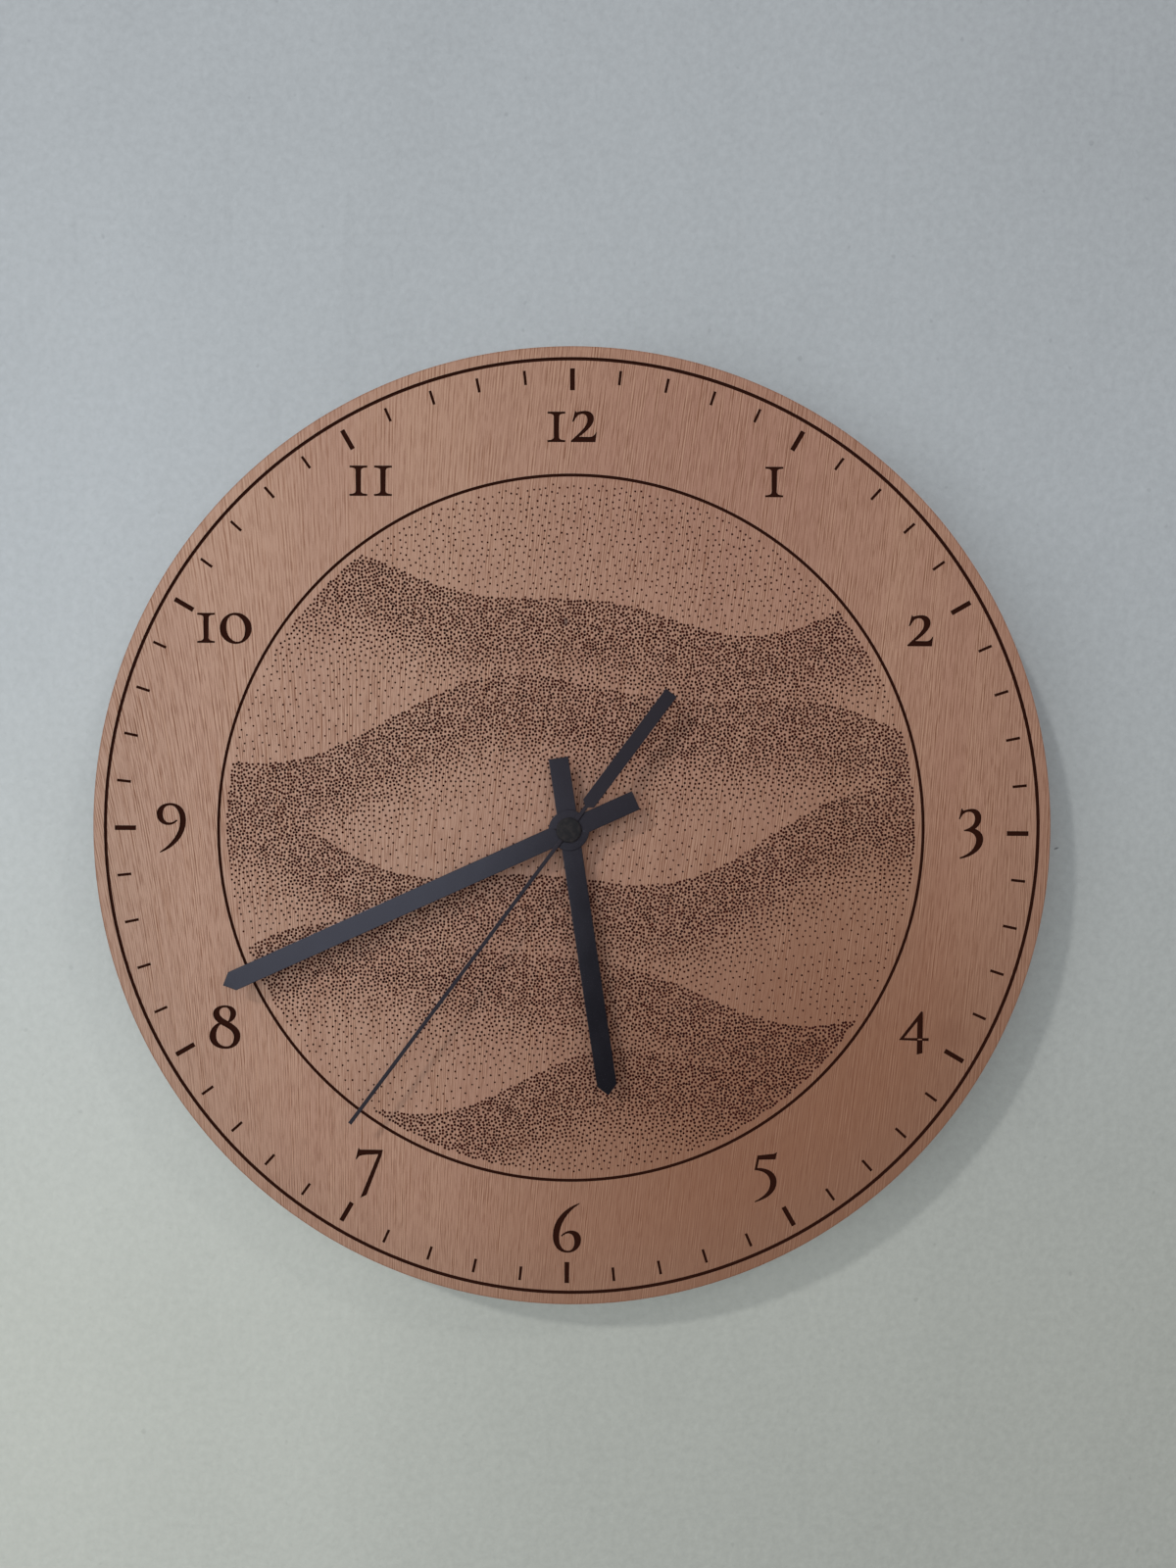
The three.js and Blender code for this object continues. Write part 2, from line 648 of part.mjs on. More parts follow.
function frontCase() {
  const shell = new THREE.ExtrudeGeometry(
    roundedRectangle([caseLeft + CASE_EDGE, caseRight - CASE_EDGE],
      [caseBottom + CASE_EDGE, caseTop - CASE_EDGE], CASE_CORNER - CASE_EDGE),
    {
      depth: caseFront - CASE_EDGE,
      bevelEnabled: true,
      bevelThickness: CASE_EDGE,
      bevelSize: CASE_EDGE,
      bevelSegments: 1,
      curveSegments: CORNER_SEGMENTS,
    },
  );
  const squareBack = block([2 * caseLeft, 2 * caseRight], [2 * caseBottom, 2 * caseTop], [-2 * CASE_EDGE, 0]);
  const compartment = roundedPlate([-bayHalfLength, bayHalfLength], [compartmentBottom, compartmentTop],
    INNER_CORNER, -CUT_MARGIN, floorBack);
  const bay = roundedPlate([-bayHalfLength, bayHalfLength], [bayBottom, bayTop], INNER_CORNER,
    -CUT_MARGIN, floorBack);
  const slotUp = [bayTop - INNER_CORNER, compartmentBottom + INNER_CORNER];
  const slotDeep = [-CUT_MARGIN, contactFront + FIT_GAP];
  const slotWidth = 2 * FIT_GAP + CONTACT_THICKNESS + SEAT_GAP;
  const positiveSlot = block([-bayHalfLength, -bayHalfLength + slotWidth], slotUp, slotDeep);
  const negativeSlot = block([bayHalfLength - slotWidth, bayHalfLength], slotUp, slotDeep);
  const stem = rod(centreAt, bushHole, floorBack - CUT_MARGIN, caseFront + CUT_MARGIN, ROUND_SEGMENTS);
  const tray = cut(shell, squareBack, compartment, bay, positiveSlot, negativeSlot, stem);
  const bearingRadius = PIVOT_RADIUS + RUNNING_GAP + BEARING_WALL;
  const thirdBoss = cut(
    rod(thirdAt, bearingRadius, cannonBack, floorBack + FIT_GAP),
    rod(thirdAt, PIVOT_RADIUS + RUNNING_GAP, cannonBack - CUT_MARGIN, hourBack + CUT_MARGIN),
  );
  const settingBoss = cut(
    rod(settingAt, SETTING_SHAFT_RADIUS + RUNNING_GAP + BEARING_WALL, hourBack, floorBack + FIT_GAP),
    rod(settingAt, SETTING_SHAFT_RADIUS + RUNNING_GAP, hourBack - CUT_MARGIN, floorBack),
  );
  const reverserPost = rod(reverserAt, PIVOT_RADIUS, cannonBack - FRICTION_GAP, floorBack + FIT_GAP);
  return join(tray, hangingEye(), thirdBoss, settingBoss, reverserPost, ...cradleRibs(),
    ...cornerPosts(plateFront + SEAT_GAP, floorBack + FIT_GAP));
}

function rearCover() {
  const inside = bayHalfLength - COVER_GAP;
  const lid = roundedPlate([-inside, inside], [compartmentBottom + COVER_GAP, compartmentTop - COVER_GAP],
    INNER_CORNER, 0, COVER_THICKNESS);
  const well = rod(settingAt, wellRadius + WELL_WALL, 0, wellFloor + WELL_WALL, ROUND_SEGMENTS);
  const knobSpace = rod(settingAt, wellRadius, -CUT_MARGIN, wellFloor, ROUND_SEGMENTS);
  const shaftHole = rod(settingAt, SETTING_SHAFT_RADIUS + RUNNING_GAP, 0, wellFloor + WELL_WALL + CUT_MARGIN);
  const pivotHoles = [centreAt, thirdAt, intermediateAt, rotorAt].map((place) => rod(
    place, PIVOT_RADIUS + RUNNING_GAP, COVER_THICKNESS - PIVOT_DEPTH - FIT_GAP, COVER_THICKNESS + CUT_MARGIN));
  const rightPosts = cornerPosts(COVER_THICKNESS - FIT_GAP, plateBack - SEAT_GAP).slice(1, 3);
  const boardPegs = boardPosts.map((place) => rod(place, POST_RADIUS, COVER_THICKNESS - FIT_GAP,
    boardBack - SEAT_GAP));
  return cut(join(lid, well, ...rightPosts, ...boardPegs), knobSpace, shaftHole, ...pivotHoles);
}

function middlePlate() {
  const inside = bayHalfLength - COVER_GAP;
  const sheet = roundedPlate([-inside, inside], [compartmentBottom + COVER_GAP, compartmentTop - COVER_GAP],
    INNER_CORNER, plateBack, plateFront);
  const posts = boardPosts.map((place) => rod(place, POST_RADIUS, boardFront + SEAT_GAP, plateBack + FIT_GAP));
  const pinionTip = centreModule * (PINION_LEAVES / 2 + ADDENDUM);
  const hole = (place, radius) => rod(place, radius, plateBack - CUT_MARGIN, plateFront + CUT_MARGIN);
  return cut(
    join(sheet, ...posts),
    hole(centreAt, minutePipeBore),
    hole(thirdAt, pinionTip + RUNNING_GAP),
    hole(intermediateAt, PIVOT_RADIUS + RUNNING_GAP),
    hole(rotorAt, PIVOT_RADIUS + RUNNING_GAP),
    hole(settingAt, SETTING_SHAFT_RADIUS + RUNNING_GAP),
  );
}

function hourWheel() {
  const pipeFront = hourHandBack + HAND_THICKNESS + PIPE_BEYOND_HAND;
  return cut(
    join(gear(hourGear, hourBack, hourFront), rod(centreAt, hourPipeRadius, hourBack, pipeFront, ROUND_SEGMENTS)),
    rod(centreAt, hourPipeBore, hourBack - CUT_MARGIN, pipeFront + CUT_MARGIN, ROUND_SEGMENTS),
  );
}

function minutePipe() {
  const pipeFront = minuteHandBack + HAND_THICKNESS + PIPE_BEYOND_HAND;
  const collar = minutePipeRadius + 2 * PIPE_WALL;
  return cut(
    join(
      rod(centreAt, collar, collarBack, collarFront, ROUND_SEGMENTS),
      gear(cannonGear, cannonBack, cannonFront),
      rod(centreAt, minutePipeRadius, collarBack, pipeFront, ROUND_SEGMENTS),
    ),
    rod(centreAt, minutePipeBore, collarBack - CUT_MARGIN, pipeFront + CUT_MARGIN, ROUND_SEGMENTS),
  );
}

// Three-armed friction washer that lets the hands be set without turning the train
function clutchSpring() {
  const bore = minutePipeRadius + FIT_GAP;
  const rim = SPRING_DIAMETER / 2;
  const hub = ring(bore, bore + PIPE_WALL, springBack, springFront);
  const arms = [0, 1, 2].map((arm) => block([-PIPE_WALL / 2, PIPE_WALL / 2], [bore + FIT_GAP, rim],
    [springBack, springFront]).rotateZ((arm * 2 * Math.PI) / 3));
  return join(hub, ...arms);
}

function reverserWheel() {
  const bore = PIVOT_RADIUS + FIT_GAP;
  const whole = join(
    gear(reverserGear, cannonBack, cannonFront),
    gear(reverserPinion, cannonBack, hourFront),
  );
  return cut(whole, rod(reverserAt, bore, cannonBack - CUT_MARGIN, hourFront + CUT_MARGIN));
}

// Moulded wheel and pinion on one arbor with pivots at both ends
function arborWheel(wheel, wheelSpan, pinion, pinionSpan, pivotSpan) {
  return join(
    gear(wheel, ...wheelSpan),
    gear(pinion, ...pinionSpan),
    rod(wheel.at, PIVOT_RADIUS, ...pivotSpan),
  );
}

function thirdWheel() {
  return arborWheel(thirdGear, [thirdBack, thirdFront], thirdPinion, [thirdBack, centreFront],
    [COVER_THICKNESS - PIVOT_DEPTH, hourBack]);
}

function intermediateWheel() {
  return arborWheel(intermediateGear, [intermediateBack, intermediateFront], intermediatePinion,
    [intermediateBack, secondsFront], [COVER_THICKNESS - PIVOT_DEPTH, plateFront - FIT_GAP]);
}

function secondsWheel() {
  const bore = arborRadius + FIT_GAP;
  const whole = join(
    gear(secondsGear, secondsBack, secondsFront),
    gear(secondsPinion, secondsBack, thirdFront),
  );
  return cut(whole, rod(centreAt, bore, secondsBack - CUT_MARGIN, thirdFront + CUT_MARGIN));
}

function rotorPinion() {
  const pinionFront = magnetBack - FIT_GAP;
  return join(
    gear(rotorGear, intermediateBack - FIT_GAP, pinionFront),
    rod(rotorAt, PIVOT_RADIUS, COVER_THICKNESS - PIVOT_DEPTH, plateFront - FIT_GAP),
  );
}

function rotorMagnet() {
  const shape = new THREE.Shape();
  shape.absarc(rotorAt[0], rotorAt[1], MAGNET_DIAMETER / 2, 0, 2 * Math.PI);
  shape.holes.push(circlePath(rotorAt[0], rotorAt[1], PIVOT_RADIUS + FIT_GAP));
  return plate(shape, magnetBack, magnetFront);
}

// Soft-iron yoke: a bar round the rotor and two arms that reach up to the coil's core
function stator() {
  const bottom = rotorAt[1] - statorHalf;
  const bar = rotorAt[1] + statorHalf;
  const top = coilY + CORE_HEIGHT / 2;
  const shape = new THREE.Shape();
  shape.moveTo(statorLeft, bottom);
  shape.lineTo(statorRight, bottom);
  shape.lineTo(statorRight, top);
  shape.lineTo(statorRight - STATOR_ARM_WIDTH, top);
  shape.lineTo(statorRight - STATOR_ARM_WIDTH, bar);
  shape.lineTo(statorLeft + STATOR_ARM_WIDTH, bar);
  shape.lineTo(statorLeft + STATOR_ARM_WIDTH, top);
  shape.lineTo(statorLeft, top);
  shape.closePath();
  shape.holes.push(circlePath(rotorAt[0], rotorAt[1], STATOR_HOLE_DIAMETER / 2));
  return plate(shape, statorBack, statorFront);
}

function coilCore() {
  return block([statorLeft, statorRight], [coilY - CORE_HEIGHT / 2, coilY + CORE_HEIGHT / 2],
    [coreBack, coreFront]);
}

// Profile of [radius, x] points turned about a line along x
function turnedAcross(points, [y, z], segments) {
  const profile = points.map(([radius, x]) => new THREE.Vector2(radius, x));
  return new THREE.LatheGeometry(profile, segments).rotateZ(-Math.PI / 2).translate(0, y, z);
}

function coilBobbin() {
  const spool = turnedAcross([
    [0, bobbinLeft],
    [BOBBIN_FLANGE_RADIUS, bobbinLeft],
    [BOBBIN_FLANGE_RADIUS, bobbinLeft + BOBBIN_FLANGE],
    [BOBBIN_RADIUS, bobbinLeft + BOBBIN_FLANGE],
    [BOBBIN_RADIUS, bobbinRight - BOBBIN_FLANGE],
    [BOBBIN_FLANGE_RADIUS, bobbinRight - BOBBIN_FLANGE],
    [BOBBIN_FLANGE_RADIUS, bobbinRight],
    [0, bobbinRight],
  ], [coilY, coilZ], SMALL_SEGMENTS);
  const room = block(
    [bobbinLeft - CUT_MARGIN, bobbinRight + CUT_MARGIN],
    [coilY - CORE_HEIGHT / 2 - FIT_GAP, coilY + CORE_HEIGHT / 2 + FIT_GAP],
    [coreBack - FIT_GAP, coreFront + FIT_GAP],
  );
  return cut(spool, room);
}

function coilWinding() {
  const left = bobbinLeft + BOBBIN_FLANGE + FIT_GAP;
  const right = bobbinRight - BOBBIN_FLANGE - FIT_GAP;
  const bore = BOBBIN_RADIUS + FIT_GAP;
  return turnedAcross([
    [bore, left],
    [WINDING_RADIUS, left],
    [WINDING_RADIUS, right],
    [bore, right],
    [bore, left],
  ], [coilY, coilZ], SMALL_SEGMENTS);
}

function circuitBoard() {
  return roundedPlate([boardLeft, boardRight], [boardBottom, boardTop], CASE_EDGE, boardBack, boardFront);
}

function quartzCrystal() {
  const can = new THREE.CapsuleGeometry(CRYSTAL_RADIUS, CRYSTAL_LENGTH - 2 * CRYSTAL_RADIUS, CORNER_SEGMENTS,
    SMALL_SEGMENTS);
  const x = (boardLeft + boardRight) / 2;
  const y = (boardBottom + boardTop) / 2;
  return can.translate(x, y, boardFront + FIT_GAP + CRYSTAL_RADIUS);
}

function chipCap() {
  const height = boardBack - FIT_GAP;
  const dome = turned([
    [0, height - CHIP_HEIGHT],
    [CHIP_RADIUS / 2, height - CHIP_HEIGHT],
    [CHIP_RADIUS, height - CHIP_HEIGHT / 3],
    [CHIP_RADIUS, height],
    [0, height],
  ], SMALL_SEGMENTS);
  return dome.translate((boardLeft + boardRight) / 2, boardBottom + 2 * CHIP_RADIUS, 0);
}

function cell() {
  const radius = CELL_DIAMETER / 2;
  const nub = CELL_NUB_DIAMETER / 2;
  const bodyLeft = cellLeft + CELL_NUB_LENGTH;
  return turnedAcross([
    [0, cellLeft],
    [nub, cellLeft],
    [nub, bodyLeft],
    [radius - CELL_EDGE, bodyLeft],
    [radius, bodyLeft + CELL_EDGE],
    [radius, cellRight - CELL_EDGE],
    [radius - CELL_EDGE, cellRight],
    [0, cellRight],
  ], [cellY, cellZ], ROUND_SEGMENTS);
}

function positiveContact() {
  const x = contactLeft + CONTACT_THICKNESS / 2;
  const plateReach = CELL_DIAMETER / 2 - 2 * CELL_EDGE;
  const face = block([contactLeft, contactLeft + CONTACT_THICKNESS], [cellY - plateReach, cellY + plateReach],
    [cellZ - CONTACT_PLATE_WIDTH / 2, cellZ + CONTACT_PLATE_WIDTH / 2]);
  const foot = boardBottom + CONTACT_WIDTH;
  const tail = stripShape([[x, cellY], [x, foot - CONTACT_WIDTH], [boardLeft + CONTACT_WIDTH, foot]],
    CONTACT_THICKNESS);
  return join(face, plate(tail, contactBack, contactFront));
}

// Leaf that bows towards the cell, then runs along the divider to the board
function negativeContact() {
  const x = contactRight - CONTACT_THICKNESS / 2;
  const reach = CELL_DIAMETER / 2 - 2 * CELL_EDGE;
  const leaf = [-1, -0.5, 0, 0.5, 1].map((share) => [x - CONTACT_BOW * (1 - share * share), cellY + reach * share]);
  const along = compartmentBottom + FIT_GAP + CONTACT_THICKNESS;
  const strip = stripShape([
    ...leaf,
    [x, along - CONTACT_THICKNESS],
    [x - CONTACT_THICKNESS, along],
    [boardRight - CONTACT_WIDTH + CONTACT_THICKNESS, along],
    [boardRight - CONTACT_WIDTH, along + CONTACT_THICKNESS],
    [boardRight - CONTACT_WIDTH, boardBottom + CONTACT_WIDTH],
  ], CONTACT_THICKNESS);
  return plate(strip, contactBack, contactFront);
}

function settingWheel() {
  return join(
    gear(settingGear, cannonBack, cannonFront),
    rod(settingAt, SETTING_SHAFT_RADIUS, knobFront - KNOB_THICKNESS / 2, hourFront),
  );
}

function setKnob() {
  const points = Array.from({ length: 3 * KNOB_FLUTES }, (_, i) => {
    const angle = (i * 2 * Math.PI) / (3 * KNOB_FLUTES);
    const radius = KNOB_DIAMETER / 2 - (KNOB_FLUTE_DEPTH / 2) * (1 + Math.cos(KNOB_FLUTES * angle));
    return new THREE.Vector2(settingAt[0] + radius * Math.cos(angle), settingAt[1] + radius * Math.sin(angle));
  });
  const socketFloor = knobFront - KNOB_THICKNESS / 2 - FIT_GAP;
  const socket = rod(settingAt, SETTING_SHAFT_RADIUS + FIT_GAP, socketFloor, knobFront + CUT_MARGIN);
  return cut(plate(new THREE.Shape(points), KNOB_RECESS, knobFront), socket);
}

const clock = new THREE.Group();

function addPiece(parent, name, geometry, material) {
  const piece = new THREE.Mesh(geometry, material.clone());
  piece.name = name;
  parent.add(piece);
}

// Hands are drawn towards twelve and turned clockwise to the time
function addHand(name, geometry, angle) {
  const turn = new THREE.Group();
  turn.rotation.z = -THREE.MathUtils.degToRad(angle);
  addPiece(turn, name, geometry, materials.black);
  clock.add(turn);
}

addPiece(clock, 'dial_disc', dialDisc(), materials.oak);
addHand('hour_hand', barHand(HOUR_HAND_LENGTH, hourPipeRadius + FIT_GAP, hourHandBack), HOUR_ANGLE);
addHand('minute_hand', barHand(MINUTE_HAND_LENGTH, minutePipeRadius + FIT_GAP, minuteHandBack), MINUTE_ANGLE);
addHand('second_hand', secondHand(), SECOND_ANGLE);
addPiece(clock, 'second_hand_collet', secondHandCollet(), materials.brass);

addPiece(clock, 'hex_nut', hexNut(), materials.brass);
addPiece(clock, 'flat_washer', ring(bushHole, WASHER_DIAMETER / 2, washerBack, washerBack + WASHER_THICKNESS),
  materials.brass);
addPiece(clock, 'threaded_bush', threadedBush(), materials.brass);
addPiece(clock, 'rubber_gasket', ring(bushHole, GASKET_DIAMETER / 2, gasketBack, gasketBack + GASKET_THICKNESS),
  materials.rubber);

addPiece(clock, 'front_case', frontCase(), materials.casePlastic);
addPiece(clock, 'rear_cover', rearCover(), materials.casePlastic);
addPiece(clock, 'middle_plate', middlePlate(), materials.wheelPlastic);

addPiece(clock, 'hour_wheel', hourWheel(), materials.wheelPlastic);
addPiece(clock, 'minute_pipe', minutePipe(), materials.brass);
addPiece(clock, 'centre_wheel', gear(centreGear, centreBack, centreFront, minutePipeRadius + FIT_GAP),
  materials.wheelPlastic);
addPiece(clock, 'clutch_spring', clutchSpring(), materials.steel);
addPiece(clock, 'reverser_wheel', reverserWheel(), materials.wheelPlastic);
addPiece(clock, 'third_wheel', thirdWheel(), materials.wheelPlastic);
addPiece(clock, 'seconds_wheel', secondsWheel(), materials.wheelPlastic);
addPiece(clock, 'seconds_arbor', rod(centreAt, arborRadius, COVER_THICKNESS - PIVOT_DEPTH,
  secondHandBack - FIT_GAP), materials.steel);
addPiece(clock, 'intermediate_wheel', intermediateWheel(), materials.wheelPlastic);
addPiece(clock, 'rotor_pinion', rotorPinion(), materials.wheelPlastic);
addPiece(clock, 'rotor_magnet', rotorMagnet(), materials.magnet);

addPiece(clock, 'stator', stator(), materials.steel);
addPiece(clock, 'coil_core', coilCore(), materials.steel);
addPiece(clock, 'coil_bobbin', coilBobbin(), materials.wheelPlastic);
addPiece(clock, 'coil_winding', coilWinding(), materials.copper);
addPiece(clock, 'circuit_board', circuitBoard(), materials.board);
addPiece(clock, 'quartz_crystal', quartzCrystal(), materials.steel);
addPiece(clock, 'chip_cap', chipCap(), materials.epoxy);

addPiece(clock, 'cell', cell(), materials.cellJacket);
addPiece(clock, 'positive_contact', positiveContact(), materials.steel);
addPiece(clock, 'negative_contact', negativeContact(), materials.steel);
addPiece(clock, 'setting_wheel', settingWheel(), materials.wheelPlastic);
addPiece(clock, 'set_knob', setKnob(), materials.casePlastic);

// Stand the clock up: the face looks along -Y
clock.rotation.x = Math.PI / 2;

export default clock;
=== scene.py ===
"""Wooden wall clock: the visible pieces and their finishes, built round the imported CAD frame."""
import json
import math
import random

import bmesh
import bpy
from mathutils import Matrix, Quaternion, Vector
from mathutils.geometry import delaunay_2d_cdt, interpolate_bezier


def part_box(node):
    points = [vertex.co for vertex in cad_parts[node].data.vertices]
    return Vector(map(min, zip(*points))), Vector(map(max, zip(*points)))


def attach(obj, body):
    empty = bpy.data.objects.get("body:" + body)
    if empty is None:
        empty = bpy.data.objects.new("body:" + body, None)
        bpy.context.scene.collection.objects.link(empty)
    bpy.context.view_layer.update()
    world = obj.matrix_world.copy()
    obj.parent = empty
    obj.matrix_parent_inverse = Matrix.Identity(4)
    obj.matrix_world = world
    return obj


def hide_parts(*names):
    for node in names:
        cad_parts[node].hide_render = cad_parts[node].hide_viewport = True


bl_info = {
    "name": "Wooden Wall Clock",
    "version": (1, 0, 0),
    "blender": (4, 5, 0),
    "location": "3D View > Sidebar > Clock",
    "description": "Models and finishes a round wooden wall clock with an engraved dial",
    "category": "Object",
}

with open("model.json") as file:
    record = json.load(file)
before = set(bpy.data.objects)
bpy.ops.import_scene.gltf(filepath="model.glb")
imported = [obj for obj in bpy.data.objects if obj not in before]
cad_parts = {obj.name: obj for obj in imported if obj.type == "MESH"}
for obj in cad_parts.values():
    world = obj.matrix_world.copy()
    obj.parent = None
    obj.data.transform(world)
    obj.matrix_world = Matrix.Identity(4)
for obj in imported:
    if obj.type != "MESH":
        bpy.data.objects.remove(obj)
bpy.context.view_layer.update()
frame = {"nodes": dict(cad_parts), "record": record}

MM = 0.001
DIAL_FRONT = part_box("dial_disc")[0][1]
DIAL_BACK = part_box("dial_disc")[1][1]
DISC_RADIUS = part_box("dial_disc")[1][0]
# Points on each circle of the dial
ROUND_STEPS = 240
# Distance of the setting knob's axis from the hands', and of the wall from the cover's back
KNOB_AXIS = 17.802 * MM
WALL_GAP = 0.4 * MM

# Camera of the photograph: place and aim in metres, a small roll, the lens in millimetres and its shift
EYE = Vector((0.010019, -0.391901, -0.004930))
AIM = Vector((0.005849, -0.023550, -0.015165))
ROLL = math.radians(0.387)
LENS = 27.0
SHIFT = 0.0607

# Lights: name, place and aim in metres, then size, power and tint
FACE = (0.0, -0.02, 0.0)
BACK = (0.0, 0.0, 0.0)
LIGHTS = [
    ("window", (-0.95, -0.95, -0.12), FACE, 0.8, 4.5, (0.95, 0.98, 1.0)),
    ("pane", (-0.30, -1.0, -0.05), FACE, 0.46, 2.05, (0.80, 0.95, 1.0)),
    ("high_pane", (0.05, -1.4, 0.19), FACE, 0.5, 0.75, (0.95, 0.97, 1.0)),
    ("skylight", (-1.10, -1.705, 1.04), FACE, 0.13, 14.5, (1.0, 0.985, 0.965)),
    ("lamp", (1.32, -1.7, 1.32), FACE, 0.25, 4.5, (1.0, 0.98, 0.95)),
    ("room", (0.35, -1.7, 0.1), FACE, 1.4, 7.8, (1.0, 1.0, 1.0)),
    ("back_left", (0.75, 0.95, 0.65), BACK, 0.7, 11.0, (1.0, 0.99, 0.97)),
    ("back_right", (-0.95, 0.8, 0.1), BACK, 0.9, 7.0, (0.96, 0.98, 1.0)),
]

# Waves of the grain, per metre: across the lines, into the wood, then the wave's sway and share
GRAIN_WAVES = [(9400.0, 4000.0, 14.0, 0.6), (7000.0, 3000.0, -11.0, 0.45), (5000.0, 2200.0, 8.0, 0.35)]
# Places on the dial, in metres to the right of the axis and above it
ROSY_PATCH = (0.045, 0.112)
# Middle of a darker, warmer patch towards the lower right
DEEP_PATCH = (0.088, -0.103)
PIN_KNOT = (-1.8 * MM, 65.0 * MM)
STAIN = (120.0 * MM, -63.5 * MM)
# Places on the wall, in metres from the axis: painted window light, painted shadow under the clock, a nick
PAINTED_LIGHT_PLACE = (-0.25, -0.15)
PAINTED_SHADOW_PLACE = (0.015, -0.21)
NICK = (0.161, -0.0045)

# Areas of the dial's map: lowest corner, then width and height
MAP_FACE = (0.005, 0.005, 0.645, 0.645)
MAP_BURN = (0.665, 0.005, 0.33, 0.33)
MAP_BACK = (0.665, 0.345, 0.33, 0.30)
MAP_RIM = (0.01, 0.66, 0.64, 0.03)
MAP_HOLE = (0.01, 0.71, 0.64, 0.03)

